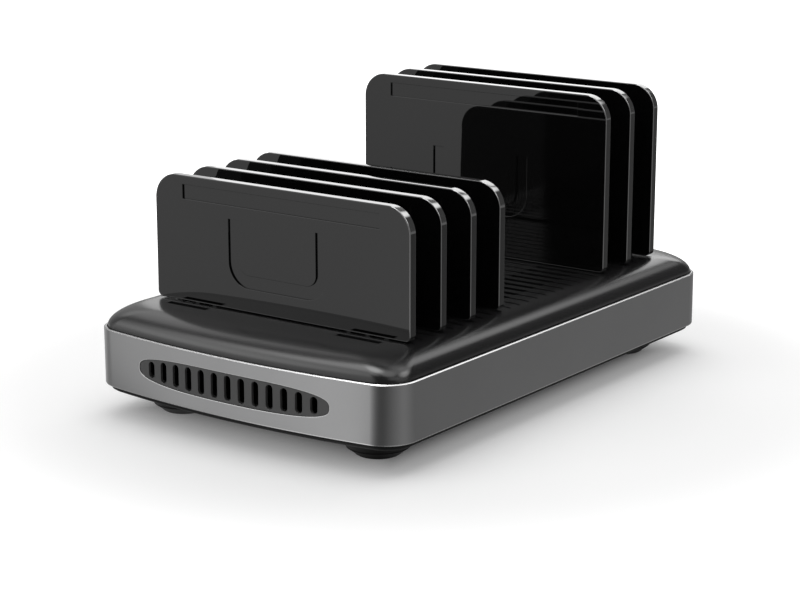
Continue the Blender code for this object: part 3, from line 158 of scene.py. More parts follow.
def eased(tone, low, high, least=0.0, most=1.0):
    """A smooth change from the least to the most, while a tone goes from low to high."""
    values = {"Value": tone, "From Min": low, "From Max": high, "To Min": least, "To Max": most}
    return tone.node("ShaderNodeMapRange", {"interpolation_type": "SMOOTHSTEP"}, values)


def level_parts(place):
    """The X and the Y of a place or direction."""
    return [place.node("ShaderNodeSeparateXYZ", {}, {0: place}, axis) for axis in "XY"]


def bearing(place):
    """Azimuth of a place or direction as a share of the full turn: 0 and 1 behind, 0.5 in front."""
    x, y = level_parts(place)
    return x.math("ARCTAN2", x, 0 - y) * (0.5 / math.pi) + 0.5


def deselect():
    """Deselects every object, so that what comes next acts on the new piece alone."""
    bpy.ops.object.select_all(action="DESELECT")


white = (1, 1, 1, 1)
floor_size = 8.0
# Painted shade round the base: near it the floor glows at the next value only, and its glow rises to full
# between the two distances after it.
painted_shade_glow = 0.2
glow_span = (0.14, 0.30)
# Painted shade under the base: the floor's glow fades out inside the base's footprint, by position alone.
footprint = (68 * MM, 110 * MM)
painted_shade_span = (0.66, 0.9)
mirror_peak = 1.2
mirror_middle = Vector((0.056, -0.098, 0))
mirror_stops = (
    (0.0, 0.3), (0.1, 0.12), (0.2, 0.3), (0.235, 0.7), (0.262, 0.3), (0.28, 0.36), (0.296, 0.75),
    (0.31, 0.72), (0.36, 0.8), (0.42, 0.95), (0.45, 0.98), (0.485, 0.35), (0.53, 0.11),
    (0.585, 0.12), (0.65, 0.24), (0.755, 0.38), (0.87, 0.24), (1.0, 0.3),
)
deselect()
bpy.ops.mesh.primitive_plane_add(size=floor_size)
floor = bpy.context.object
floor.name = "studio_floor"
constants = {"Base_Color": (0.9, 0.9, 0.9, 1), "Roughness": 1.0, "Specular_IOR_Level": 0.0}
material, start, shader = new_material("white_floor", Emission_Color=white, **constants)
place = start.node("ShaderNodeTexCoord", output="Object")
away = start.node("ShaderNodeVectorMath", {"operation": "LENGTH"}, {0: place}, "Value")
glow = eased(away, *glow_span, least=painted_shade_glow)
offset = start.node("ShaderNodeVectorMath", {"operation": "SUBTRACT"}, {0: place, 1: mirror_middle})
mirrored = start.node("ShaderNodeValToRGB", {"stops": mirror_stops}, {0: bearing(offset)}) * mirror_peak
# The mask of the painted shade under the base, 0 inside its footprint and 1 outside.
shares = [part.math("ABSOLUTE", part, 0) * (1 / half) for part, half in zip(level_parts(place), footprint)]
outside_painted_shade = eased(shares[0].math("MAXIMUM", *shares), *painted_shade_span)
seen = ray_kind(start, "Camera") + ray_kind(start, "Transmission")
feed(shader, "Emission Strength", seen * glow * outside_painted_shade)
shown = Tone(start.tree, shader.outputs[0])
card = start.node("ShaderNodeEmission", {}, {"Strength": mirrored})
either = start.node("ShaderNodeMixShader", {}, {0: ray_kind(start, "Glossy"), 1: shown, 2: card})
start.tree.links.new(either.socket, start.tree.nodes["Material Output"].inputs[0])
floor.data.materials.append(material)

world = bpy.data.worlds.new("studio_surround")
bpy.context.scene.world = world
world.use_nodes = True
sky = world.node_tree.nodes["Background"]
start = Tone(world.node_tree)
sky_fill = 0.5
sky_gloss = 0.12
# Each soft box: its azimuth and elevation, its inner and outer radius in degrees, and its strength.
soft_boxes = (
    (-46, 37, 14, 30, 1.6),
    (-62, 49, 5, 14, 0.7),
    (-50, 56, 6, 13, 1.8),
    (-52, 74, 8, 16, 7.5),
    (60, 74, 10, 24, 2.3),
    (-18, 58, 6, 16, 2.2),
    (168, 68, 5, 14, 1.3),
    (138, 54, 8, 20, 1.6),
    (118, 43, 8, 20, 3.8),
    (66, 38, 8, 22, 0.9),
    (95, 16, 12, 30, 0.8),
    (-38, 6, 18, 44, 1.2),
    (-120, 15, 30, 70, 0.35),
    (-120, 42, 8, 22, 0.9),
    (169, 41, 4, 13, 2.5),
)
way = start.node("ShaderNodeTexCoord", output="Generated")
gloss = ray_kind(start, "Glossy") * (sky_gloss - sky_fill)
for azimuth, elevation, inner, outer, strength in soft_boxes:
    pair = {0: way, 1: toward(azimuth, elevation)}
    near = start.node("ShaderNodeVectorMath", {"operation": "DOT_PRODUCT"}, pair, "Value")
    edges = [math.cos(math.radians(radius)) for radius in (outer, inner)]
    gloss = gloss + ray_kind(start, "Glossy") * eased(near, *edges, most=strength)
seen = ray_kind(start, "Camera") + ray_kind(start, "Transmission")
brightness = seen + (1 - seen) * (sky_fill + gloss)
start.tree.links.new(brightness.socket, sky.inputs["Strength"])
sky.inputs["Color"].default_value = white


def soft_lamp(name, azimuth, elevation, distance, size, power):
    """A square lamp that looks at the base, and that glossy surfaces don't mirror."""
    away = toward(azimuth, elevation)
    turned_to = away.to_track_quat("Z", "Y").to_euler()
    bpy.ops.object.light_add(type="AREA", location=away * distance, rotation=turned_to)
    lamp = bpy.context.object
    lamp.name = name
    lamp.data.size = size
    lamp.data.energy = power
    lamp.visible_glossy = False


soft_lamp("lamp_behind", azimuth=-162, elevation=66, distance=1.3, size=1.5, power=8)
soft_lamp("lamp_front", azimuth=-35, elevation=48, distance=1.3, size=0.9, power=2)
panel_distance = 0.41
panel_low = 0.125
panel_high = 0.40


def bright_panel(name, left, right, strength):
    """An upright sheet of light behind the base that only glossy surfaces mirror."""
    deselect()
    middle = ((left + right) / 2, panel_distance, (panel_low + panel_high) / 2)
    bpy.ops.mesh.primitive_plane_add(size=1, location=middle, rotation=(math.pi / 2, 0, 0))
    panel = bpy.context.object
    panel.name = name
    panel.scale = (right - left, panel_high - panel_low, 1)
    panel.visible_camera = False
    panel.visible_diffuse = False
    panel.visible_shadow = False
    constants = {"Base_Color": (0, 0, 0, 1), "Roughness": 1.0, "Emission_Color": white}
    panel.data.materials.append(new_material(name, Emission_Strength=strength, **constants)[0])


bright_panel("panel_behind", left=-0.46, right=0.02, strength=2.4)
bright_panel("panel_beside", left=-0.60, right=-0.46, strength=1.5)


# The metal band: a strip of satin aluminium, bent round the base and closed, with bright cut
# chamfers on its edges. The vent, the ports and the mains fittings look out through windows
# punched in it.
body_length = 220.0 * MM
body_width = 136.5 * MM
end_bow = 6.0 * MM
corner_radius = 12.2 * MM
band_bottom = 11.2 * MM
band_height = 21.2 * MM
band_wall = 1.0 * MM
band_top = band_bottom + band_height
band_middle = band_bottom + band_height / 2
top_chamfer = 0.4 * MM
chamfer_lift = 0.08 * MM
bottom_chamfer = 0.4 * MM
bottom_pull = 0.16 * MM
overrun = 1.0 * MM
near_gap = 0.01 * MM
weld_gap = 0.001 * MM


def bow_circle(inset):
    """Radius and centre of the circle that a bowed end follows at an inset from the base's outside."""
    radius = ((body_width / 2) ** 2 + end_bow**2) / (2 * end_bow) - inset
    return radius, body_length / 2 - inset - radius


def end_at(x, inset):
    """How far along Y the bowed end lies at a place across the base."""
    radius, centre = bow_circle(inset)
    return centre + math.sqrt(radius**2 - x**2)


def corner_centre(inset, corner):
    """Centre of a rounded corner, and the angle at which it meets the bowed end."""
    radius, centre = bow_circle(inset)
    x = body_width / 2 - inset - corner
    y = centre + math.sqrt((radius - corner) ** 2 - x**2)
    return x, y, math.atan2(y - centre, x)


def select_all():
    """In edit mode, selects the whole piece."""
    bpy.ops.mesh.select_all(action="SELECT")


def extrude(way):
    """In edit mode, extrudes what is selected."""
    bpy.ops.mesh.extrude_region_move(TRANSFORM_OT_translate={"value": way})


def flat_piece(name, middle, size, facing):
    """A rectangle to shape in edit mode, all of it selected. It looks along -Y, +X or +Z."""
    turns = {"Y": (math.pi / 2, 0, 0), "X": (math.pi / 2, 0, math.pi / 2), "Z": (0, 0, 0)}
    deselect()
    bpy.ops.mesh.primitive_plane_add(size=1, location=middle, rotation=turns[facing])
    piece = bpy.context.object
    piece.name = name
    piece.scale = (*size, 1)
    bpy.ops.object.transform_apply(location=True, rotation=True, scale=True)
    bpy.ops.object.mode_set(mode="EDIT")
    bpy.ops.mesh.select_mode(type="VERT")
    select_all()
    return piece


def select(piece, kind, test):
    """In edit mode, selects only those faces, edges or vertices whose middle passes a test."""
    modes = {"verts": "VERT", "edges": "EDGE", "faces": "FACE"}
    bpy.ops.mesh.select_mode(type=modes[kind])
    bpy.ops.mesh.select_all(action="DESELECT")
    shape = bmesh.from_edit_mesh(piece.data)
    for part in getattr(shape, kind):
        if kind == "verts":
            middle = part.co
        elif kind == "edges":
            middle = (part.verts[0].co + part.verts[1].co) / 2
        else:
            middle = part.calc_center_median()
        if test(part, middle):
            part.select_set(True)
    shape.select_flush_mode()
    bmesh.update_edit_mesh(piece.data)


def apply_modifier(piece, kind, **settings):
    """Adds a modifier with its settings and applies it."""
    if bpy.context.mode != "OBJECT":
        bpy.ops.object.mode_set(mode="OBJECT")
    bpy.context.view_layer.objects.active = piece
    modifier = piece.modifiers.new(kind.lower(), kind)
    for key, value in settings.items():
        setattr(modifier, key, value)
    bpy.ops.object.modifier_apply(modifier=modifier.name)


def carve(piece, tool, operation="DIFFERENCE"):
    """Cuts a tool out of a piece, or joins it on, and removes the tool."""
    apply_modifier(piece, "BOOLEAN", object=tool, operation=operation, solver="EXACT")
    bpy.data.objects.remove(tool)


def clean(piece):
    """Merges doubled points and lets the faces look outwards."""
    bpy.context.view_layer.objects.active = piece
    if bpy.context.mode != "EDIT_MESH":
        bpy.ops.object.mode_set(mode="EDIT")
    bpy.ops.mesh.select_mode(type="VERT")
    select_all()
    bpy.ops.mesh.remove_doubles(threshold=weld_gap)
    bpy.ops.mesh.normals_make_consistent(inside=False)
    bpy.ops.object.mode_set(mode="OBJECT")


def smooth(piece, angle=30):
    """Smooth shading that keeps the sharp edges sharp and the broad faces flat."""
    deselect()
    piece.select_set(True)
    bpy.context.view_layer.objects.active = piece
    bpy.ops.object.shade_smooth_by_angle(angle=math.radians(angle))
    apply_modifier(piece, "WEIGHTED_NORMAL", keep_sharp=True, weight=100)


def carry_round(piece, inset, corner, corner_steps=16, bow_steps=14):
    """Carries the selected section at the right side's middle round a quarter, then mirrors it."""
    radius, centre = bow_circle(inset)
    x, y, meet = corner_centre(inset, corner)
    extrude((0, y, 0))
    bpy.ops.mesh.spin(steps=corner_steps, angle=-meet, center=(x, y, 0), axis=(0, 0, 1))
    bpy.ops.mesh.spin(steps=bow_steps, angle=meet - math.pi / 2, center=(0, centre, 0), axis=(0, 0, 1))
    apply_modifier(piece, "MIRROR", use_axis=(True, True, False), merge_threshold=weld_gap)


def window_tool(middle, size, radius, depth, facing, segments=6):
    """A solid with rounded corners that punches a window, and reaches both ways from its middle."""
    tool = flat_piece("window", middle, size, facing)
    bpy.ops.mesh.bevel(offset=radius, segments=segments, affect="VERTICES", clamp_overlap=True)
    select_all()
    way = {"Y": (0, depth, 0), "X": (depth, 0, 0), "Z": (0, 0, depth)}[facing]
    bpy.ops.transform.translate(value=[-part / 2 for part in way])
    extrude(way)
    clean(tool)
    return tool


def disc(points, radius):
    """A flat disc round the origin that looks along -Y."""
    deselect()
    facing = (math.pi / 2, 0, 0)
    bpy.ops.mesh.primitive_circle_add(vertices=points, radius=radius, fill_type="NGON", rotation=facing)
    bpy.ops.object.transform_apply(location=True, rotation=True, scale=True)
    return bpy.context.object


def oval_tool(half_length, half_height, squareness, middle, depth):
    """A long oval solid, fuller than an ellipse, that looks along -Y."""
    tool = disc(96, 1)
    for point in tool.data.vertices:
        across, rise = point.co.x, point.co.z
        point.co.x = math.copysign(abs(across) ** (2 / squareness), across) * half_length
        point.co.z = math.copysign(abs(rise) ** (2 / squareness), rise) * half_height
        point.co += Vector(middle) - Vector((0, depth / 2, 0))
    bpy.ops.object.mode_set(mode="EDIT")
    select_all()
    extrude((0, depth, 0))
    clean(tool)
    return tool


side = body_width / 2
band = flat_piece("band", (side - band_wall / 2, 0, band_middle), (band_wall, band_height), "Y")
select(band, "verts", lambda point, at: at.x > side - band_wall / 2 and at.z > band_middle)
bpy.ops.mesh.bevel(offset=top_chamfer, affect="VERTICES")
select(band, "verts", lambda point, at: at.x > side - near_gap and at.z > band_middle)
bpy.ops.transform.translate(value=(0, 0, chamfer_lift))
select(band, "verts", lambda point, at: at.x > side - band_wall / 2 and at.z < band_middle)
bpy.ops.mesh.bevel(offset=bottom_chamfer, affect="VERTICES")
select(band, "verts", lambda point, at: side - band_wall / 2 < at.x < side - near_gap and at.z < band_middle)
bpy.ops.transform.translate(value=(bottom_pull, 0, 0))
select_all()
bpy.ops.mesh.delete(type="ONLY_FACE")
select_all()
carry_round(band, 0, corner_radius)
clean(band)

vent_length = 85.4 * MM
vent_height = 10.7 * MM
vent_squareness = 3
cut_depth = 20.0 * MM
port_window_margin = 3.6 * MM
port_window_half = corner_centre(0, corner_radius)[1] - port_window_margin
port_window_height = 10.4 * MM
rear_window_length = 60.0 * MM
window_radius = 2.0 * MM
window_lip = 0.22 * MM
lip_depth = 0.4 * MM
front = -body_length / 2
vent_place = (0, front, band_middle)
carve(band, oval_tool(vent_length / 2, vent_height / 2, vent_squareness, vent_place, cut_depth))
place = (-side, 0, band_middle)
carve(band, window_tool(place, (2 * port_window_half, port_window_height), window_radius, 6 * MM, "X"))
place = (0, -front, band_middle)
carve(band, window_tool(place, (rear_window_length, port_window_height), window_radius, 12 * MM, "Y"))


def is_sharp(edge):
    """True for an edge between two faces that meet at more than 40 degrees."""
    return edge.is_manifold and edge.calc_face_angle() > math.radians(40)


def on_window_lip(edge, at):
    """True for the sharp outer edges of the band's three windows."""
    if not is_sharp(edge) or not band_bottom + 2 * MM < at.z < band_top - 2 * MM:
        return False
    outside = end_at(min(abs(at.x), side - corner_radius), lip_depth)
    return abs(at.y) > outside or at.x < lip_depth - side


bpy.ops.object.mode_set(mode="EDIT")
select(band, "edges", on_window_lip)
bpy.ops.mesh.bevel(offset=window_lip, segments=2, affect="EDGES")
shape = bmesh.from_edit_mesh(band.data)
for face in shape.faces:
    at_edge = not band_bottom + MM < face.calc_center_median().z < band_top - MM
    sloping = 0.3 < abs(face.normal.z) < 0.9
    if face.select or (at_edge and sloping):
        face.material_index = 1
bmesh.update_edit_mesh(band.data)
bpy.ops.object.mode_set(mode="OBJECT")
smooth(band)


def noise(start, scale, detail=2.0):
    """Even noise through the object's own space, from 0 to 1. The scale is in cells to the metre."""
    place = start.node("ShaderNodeTexCoord", output="Object")
    return start.node("ShaderNodeTexNoise", {}, {"Vector": place, "Scale": scale, "Detail": detail})


def blend_colors(share, first, second):
    """A colour between two others."""
    return share.node("ShaderNodeMix", {"data_type": "RGBA"}, {0: share, 6: first, 7: second}, 2)


def roughen(shader, height, strength, distance):
    """Fine relief from a height."""
    values = {"Strength": strength, "Distance": distance, "Height": height}
    feed(shader, "Normal", height.node("ShaderNodeBump", {}, values, "Normal"))


material, start, shader = new_material("satin_aluminium", Metallic=1.0)
grain, cloud = noise(start, 3000.0), noise(start, 40.0, 3.0)
metal = blend_colors(grain * 0.5 + cloud * 0.5, (0.27, 0.27, 0.272, 1), (0.33, 0.33, 0.332, 1))
feed(shader, "Base Color", metal)
feed(shader, "Roughness", 0.27 + grain * 0.08)
roughen(shader, grain, 0.15, 0.03 * MM)
band.data.materials.append(material)
material, start, shader = new_material("bright_chamfer", Metallic=1.0)
grain = noise(start, 1500.0)
feed(shader, "Base Color", blend_colors(grain, (0.5, 0.5, 0.5, 1), (0.58, 0.58, 0.58, 1)))
feed(shader, "Roughness", 0.22 + grain * 0.1)
band.data.materials.append(material)
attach(band, "base")
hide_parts("metal_band")


# The top cover: one moulding of polished black plastic. A skirt stands inside the band, a dome
# rises from it to a flat deck, and two rails under the deck hold the blind sockets.
cover_inset = 1.3 * MM
cover_wall = 2.2 * MM
deck_wall = 2.5 * MM
dome_run = 13.0 * MM
dome_rise = 8.0 * MM
dome_steps = 18
inner_dome_steps = 6
deck_corner = 20.0 * MM
deck_top = band_top + dome_rise
skirt_bottom = 28.0 * MM
cap_inset = 0.6 * MM
level_gap = 0.0001 * MM


def join_pieces(*pieces):
    """Joins pieces into the first of them."""
    deselect()
    for piece in pieces:
        piece.select_set(True)
    bpy.context.view_layer.objects.active = pieces[0]
    bpy.ops.object.join()
    return pieces[0]


def ring_round(inset, corner, height):
    """One loop of edges round the base."""
    ring = flat_piece("ring", (side - inset, 0, height), (MM, MM), "Z")
    bpy.ops.mesh.merge(type="CENTER")
    carry_round(ring, inset, corner)
    return ring


def on_ring(edge, height):
    """True for an edge that lies level at a height."""
    return all(abs(end.co.z - height) < level_gap for end in edge.verts)


def skin_over(name, rings):
    """One skin over rings round the base, each given by inset, corner radius and height."""
    skin = join_pieces(*[ring_round(*ring) for ring in rings])
    skin.name = name
    bpy.ops.object.mode_set(mode="EDIT")
    for (_, _, low), (_, _, high) in zip(rings, rings[1:]):
        select(skin, "edges", lambda edge, at: on_ring(edge, low) or on_ring(edge, high))
        bpy.ops.mesh.bridge_edge_loops()
    top = rings[-1][2]
    select(skin, "edges", lambda edge, at: abs(at.z - top) < level_gap)
    bpy.ops.mesh.edge_face_add()
    bpy.ops.mesh.inset(thickness=cap_inset)
    bpy.ops.object.mode_set(mode="OBJECT")
    return skin


def dome_rings(inset, rise, steps):
    """A quarter-ellipse dome from the band's upper edge to a flat deck."""
    edge = corner_radius - inset
    rings = []
    for step in range(steps + 1):
        angle = math.pi / 2 * step / steps
        inward = 1 - math.cos(angle)
        corner = edge + (deck_corner - edge) * inward
        rings.append((inset + dome_run * inward, corner, band_top + rise * math.sin(angle)))
    return rings


def block(low, high):
    """A box between two corners, as a tool or a rib."""
    low, high = Vector(low), Vector(high)
    deselect()
    bpy.ops.mesh.primitive_cube_add(size=1, location=(low + high) / 2)
    box = bpy.context.object
    box.scale = high - low
    bpy.ops.object.transform_apply(location=True, rotation=True, scale=True)
    return box


def rod(start, end, radius, steps=32):
    """A round bar from one point to another."""
    start, end = Vector(start), Vector(end)
    along = end - start
    deselect()
    bpy.ops.mesh.primitive_cone_add(
        vertices=steps,
        radius1=radius,
        radius2=radius,
        depth=along.length,
        location=(start + end) / 2,
        rotation=along.to_track_quat("Z", "Y").to_euler(),
    )
    bar = bpy.context.object
    bpy.ops.object.transform_apply(location=True, rotation=True, scale=True)
    return bar


skins = []
for name, inset, rise, steps in (
    ("top_shell", cover_inset, dome_rise, dome_steps),
    ("inside", cover_inset + cover_wall, dome_rise - deck_wall, inner_dome_steps),
):
    skirt = (inset, corner_radius - inset, skirt_bottom)
    skins.append(skin_over(name, [skirt] + dome_rings(inset, rise, steps)))
cover = join_pieces(*skins)
bpy.ops.object.mode_set(mode="EDIT")
select(cover, "edges", lambda edge, at: abs(at.z - skirt_bottom) < level_gap)
bpy.ops.mesh.fill()
clean(cover)

row_pitch = 6.0 * MM
row_shift = 1.3 * MM
row_count = 30
socket_start = 29.2 * MM
socket_length = 18.6 * MM
socket_width = 2.7 * MM
socket_depth = 5.3 * MM
groove_width = 1.0 * MM
groove_depth = 0.5 * MM
groove_reach = 56.95 * MM
rail_wall = 2.0 * MM
rail_floor = 1.2 * MM
rail_bottom = deck_top - socket_depth - rail_floor
foot_x = 44.25 * MM
foot_y = 82.5 * MM
post_radius = 3.6 * MM
post_bottom = 14.6 * MM
screw_radius = 1.7 * MM
screw_reach = 24.0 * MM


def row_at(row):
    """Where a row of sockets lies along the base, counted from 1 at the vent end."""
    return row_shift + (row - (row_count + 1) / 2) * row_pitch


reach = socket_width / 2 + rail_wall
low = (socket_start - rail_wall, row_at(1) - reach, rail_bottom)
high = (
    socket_start + socket_length + rail_wall,
    row_at(row_count) + reach,
    deck_top - deck_wall + 0.5 * MM,
)
rail = block(low, high)
apply_modifier(rail, "MIRROR", merge_threshold=0)
carve(cover, rail, "UNION")
post = rod((foot_x, foot_y, post_bottom), (foot_x, foot_y, high[2]), post_radius)
hole = rod((foot_x, foot_y, post_bottom - MM), (foot_x, foot_y, screw_reach), screw_radius)
for tool, operation in ((post, "UNION"), (hole, "DIFFERENCE")):
    apply_modifier(tool, "MIRROR", use_axis=(True, True, False), merge_threshold=0)
    carve(cover, tool, operation)
low = (socket_start, row_at(1) - socket_width / 2, deck_top - socket_depth)
high = (socket_start + socket_length, row_at(1) + socket_width / 2, deck_top + overrun)
sockets = block(low, high)
step = {"use_relative_offset": False, "use_constant_offset": True}
apply_modifier(sockets, "ARRAY", count=row_count, constant_offset_displace=(0, row_pitch, 0), **step)
apply_modifier(sockets, "MIRROR", merge_threshold=0)
carve(cover, sockets)
low = (-groove_reach, row_at(2) - groove_width / 2, deck_top - groove_depth)
high = (groove_reach, row_at(2) + groove_width / 2, deck_top + overrun)
grooves = block(low, high)
apply_modifier(grooves, "ARRAY", count=row_count - 2, constant_offset_displace=(0, row_pitch, 0), **step)
carve(cover, grooves)
smooth(cover, 25)

material, start, shader = new_material("polished_black_cover", IOR=1.5)
grain, cloud = noise(start, 900.0, 4.0), noise(start, 30.0)
feed(shader, "Base Color", blend_colors(grain, (0.009, 0.009, 0.0092, 1), (0.014, 0.014, 0.0143, 1)))
feed(shader, "Roughness", 0.18 + grain * 0.05 + cloud * 0.03)
cover.data.materials.append(material)
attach(cover, "base")
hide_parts("top_cover")


# The dividers: polished black plates that stand in the sockets on three legs at each side. A bar
# and an open loop are sunk in each face that looks towards the vent. Four are short, three tall.
# Their rims and round top corners carry a painted highlight.
divider_width = 113.9 * MM
divider_wall = 3.4 * MM
divider_lift = 1.0 * MM
divider_drop = 0.55 * MM
top_round = 9.5 * MM
foot_round = 2.0 * MM
recess_depth = 0.7 * MM
bar_margin = 13.0 * MM
bar_drop = 3.3 * MM
bar_height = 5.2 * MM
loop_width = 44.2 * MM
loop_height = 24.4 * MM
loop_shift = -0.6 * MM
loop_band = 4.8 * MM
loop_radius = 9.0 * MM
leg_width = 1.7 * MM
leg_gap = 0.3 * MM
leg_root = 0.5 * MM
lip_bevel = 0.22 * MM
rim_bevel = 0.3 * MM
rim_reach = 9.6 * MM


def loop_tool(top, front_y):
    """The space of the sunk loop, which is open at its top."""
    spare = 2 * loop_band
    height = loop_height + spare
    middle = (loop_shift, front_y - overrun, top + spare - height / 2)
    tool = flat_piece("loop", middle, (loop_width, height), "Y")
    select(tool, "verts", lambda point, at: at.z < middle[2])
    bpy.ops.mesh.bevel(offset=loop_radius, segments=12, affect="VERTICES")
    select_all()
    bpy.ops.mesh.inset(thickness=loop_band)
    bpy.ops.mesh.delete(type="FACE")
    select_all()
    bpy.ops.mesh.bisect(plane_co=(0, 0, top), plane_no=(0, 0, 1), clear_outer=True)
    select_all()
    extrude((0, overrun + recess_depth, 0))
    clean(tool)
    return tool


def divider(name, height, loop_drop):
    """One divider, with its lower edge at height 0 and its middle over the origin."""
    middle = (0, -divider_wall / 2, (height - divider_drop) / 2)
    plate = flat_piece(name, middle, (divider_width, height + divider_drop), "Y")
    select(plate, "verts", lambda point, at: at.z > height / 2)
    bpy.ops.mesh.bevel(offset=top_round, segments=20, affect="VERTICES")
    select(plate, "verts", lambda point, at: at.z < 0)
    bpy.ops.mesh.bevel(offset=foot_round, segments=6, affect="VERTICES")
    select_all()
    extrude((0, divider_wall, 0))
    clean(plate)
    front_y = -divider_wall / 2
    half = divider_width / 2 - bar_margin
    bar_top = height - bar_drop
    bar_bottom = bar_top - bar_height
    carve(plate, block((-half, front_y - overrun, bar_bottom), (half, front_y + recess_depth, bar_top)))
    carve(plate, loop_tool(height - loop_drop, front_y))
    deep = divider_lift + socket_depth - leg_gap
    slack = socket_width / 2 - leg_gap
    first = socket_start + leg_gap
    pitch = (socket_length - 2 * leg_gap - leg_width) / 2
    legs = block((first, -slack, -deep), (first + leg_width, slack, leg_root))
    apply_modifier(legs, "ARRAY", count=3, constant_offset_displace=(pitch, 0, 0), **step)
    apply_modifier(legs, "MIRROR", merge_threshold=0)
    carve(plate, legs, "UNION")
    bpy.ops.object.mode_set(mode="EDIT")
    select(plate, "edges", lambda edge, at: on_recess_lip(edge, at) and at.z < height - MM)
    bpy.ops.mesh.bevel(offset=lip_bevel, segments=2, affect="EDGES")
    select(plate, "edges", lambda edge, at: on_plate_rim(edge, at, height))
    bpy.ops.mesh.bevel(offset=rim_bevel, segments=3, affect="EDGES")
    # The rim bevels and round corners take the second material, which is a painted highlight.
    shape = bmesh.from_edit_mesh(plate.data)
    for face in shape.faces:
        if in_painted_highlight_rim(face, height):
            face.material_index = 1
    bmesh.update_edit_mesh(plate.data)
    bpy.ops.object.mode_set(mode="OBJECT")
    smooth(plate)
    return plate


def on_plate_rim(edge, at, height):
    """True for the edges round a plate's two faces."""
    on_face = abs(abs(at.y) - divider_wall / 2) < near_gap and at.z > -divider_drop - near_gap
    on_sides = abs(at.x) > divider_width / 2 - rim_reach
    return is_sharp(edge) and on_face and (on_sides or at.z > height - 0.1 * MM or at.z < 0)


def on_recess_lip(edge, at):
    """True for the edges where the sunk bar and loop meet the face."""
    inside = abs(at.x) < divider_width / 2 - rim_reach and at.z > 2 * MM
    return inside and is_sharp(edge) and abs(at.y + divider_wall / 2) < near_gap


def in_painted_highlight_rim(face, height):
    """True for the bevels just made, which are still selected, and the round corners, which take the
    painted highlight. The flat top keeps its plain black."""
    across, rise = abs(face.normal.x), face.normal.z
    round_corner = min(across, rise) > 0.1 and face.calc_center_median().z > height / 2
    return (face.select or round_corner) and not (rise > 0.1 and across < 0.1)


def copy_of(model, name, place):
    """A copy of a model with its own mesh, moved to a place."""
    copy = bpy.data.objects.new(name, model.data.copy())
    bpy.context.scene.collection.objects.link(copy)
    copy.data.transform(Matrix.Translation(place))
    return copy


material, start, shader = new_material("polished_black_divider", IOR=1.5)
grain, cloud = noise(start, 600.0, 3.0), noise(start, 25.0)
feed(shader, "Base Color", blend_colors(grain, (0.0015, 0.0015, 0.0016, 1), (0.003, 0.003, 0.0031, 1)))
feed(shader, "Roughness", 0.012 + cloud * 0.012)
polished_black = material
# Painted highlight: the rims are the same black plastic as the plate, given a far higher reflectance so that
# they show bright lines.
material, start, shader = new_material("painted_highlight_edge", IOR=3.2)
grain = noise(start, 600.0, 3.0)
feed(shader, "Base Color", blend_colors(grain, (0.003, 0.003, 0.003, 1), (0.006, 0.006, 0.006, 1)))
feed(shader, "Roughness", 0.06 + grain * 0.05)
painted_highlight_edge = material

short_height = 45.5 * MM
short_loop_drop = 13.3 * MM
tall_height = 67.4 * MM
tall_loop_drop = 26.8 * MM
for kind, height, drop, rows in (
    ("short", short_height, short_loop_drop, (2, 5, 8, 11)),
    ("tall", tall_height, tall_loop_drop, (23, 26, 29)),
):
    model = divider(f"{kind}_plate", height, drop)
    for number, row in enumerate(rows, 1):
        copy = copy_of(model, f"{kind}_plate_{number}", (0, row_at(row), deck_top + divider_lift))
        copy.data.materials.append(polished_black)
        copy.data.materials.append(painted_highlight_edge)
        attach(copy, f"{kind}_divider_{number}")
        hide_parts(f"{kind}_divider_{number}")
    bpy.data.objects.remove(model)


# The lower tray: matte black plastic with a fine moulded grain. Its rim stands inside the band, and
# cones under it carry the pads. Bosses inside take the case screws and the two circuit boards.
underside = 8.2 * MM
rim_inset = 1.9 * MM
rim_curve = ((6.4, 8.2), (4.6, 8.4), (3.2, 8.8), (2.3, 9.4), (1.9, 10.1))
tray_top = 15.6 * MM
tray_floor = 10.0 * MM
tray_wall_inset = 4.5 * MM
cone_bottom = 3.2 * MM
cone_profile = (
    (0, 9.2), (17.9, 9.2), (17.9, 8.3), (16.7, 7.95), (15.1, 7.2), (13.7, 6.1), (12.5, 4.7),
    (11.2, 3.2), (0, 3.2),
)
case_well = (3.8 * MM, 7.0 * MM)
case_boss = (4.4 * MM, 14.3 * MM)
board_post = 3.2 * MM
board_hole = 1.35 * MM
board_posts = (
    (-28.65 * MM, 63.1 * MM, 12.3 * MM),
    (51.75 * MM, 63.1 * MM, 12.3 * MM),
    (-47.15 * MM, 49.518 * MM, 16.7 * MM),
)
ledge = 11.5 * MM
ledge_slope = 0.05 * MM
sunk_panel = (62.0 * MM, 44.0 * MM)
sunk_radius = 2.0 * MM
sunk_depth = 0.6 * MM


def closed_skin(name, rings):
    """A closed solid through rings round the base, from its lowest ring up."""
    skin = skin_over(name, rings)
    lowest = rings[0][2]
    bpy.ops.object.mode_set(mode="EDIT")
    select(skin, "edges", lambda edge, at: abs(at.z - lowest) < level_gap)
    bpy.ops.mesh.edge_face_add()
    bpy.ops.mesh.inset(thickness=cap_inset)
    clean(skin)
    return skin


def ring_at(inset, height):
    """A ring whose corners share the centre of the base's own."""
    return (inset, corner_radius - inset, height)


def drawn(name, line, upright):
    """In edit mode, a line through points in millimetres, drawn on X and Z or else on X and Y."""

    def at(across, along):
        return (across * MM, 0, along * MM) if upright else (across * MM, along * MM, 0)

    piece = flat_piece(name, at(*line[0]), (MM, MM), "Y" if upright else "Z")
    bpy.ops.mesh.merge(type="CENTER")
    for (near, low), (far, high) in zip(line, line[1:]):
        extrude(at(far - near, high - low))
    select_all()
    return piece


def turned(name, profile, place):
    """A piece turned about an upright axis from a profile of radius and height in millimetres."""
    piece = drawn(name, profile, upright=True)
    bpy.ops.mesh.spin(steps=64, angle=2 * math.pi, center=(0, 0, 0), axis=(0, 0, 1))
    select_all()
    bpy.ops.transform.translate(value=place)
    clean(piece)
    smooth(piece)
    return piece


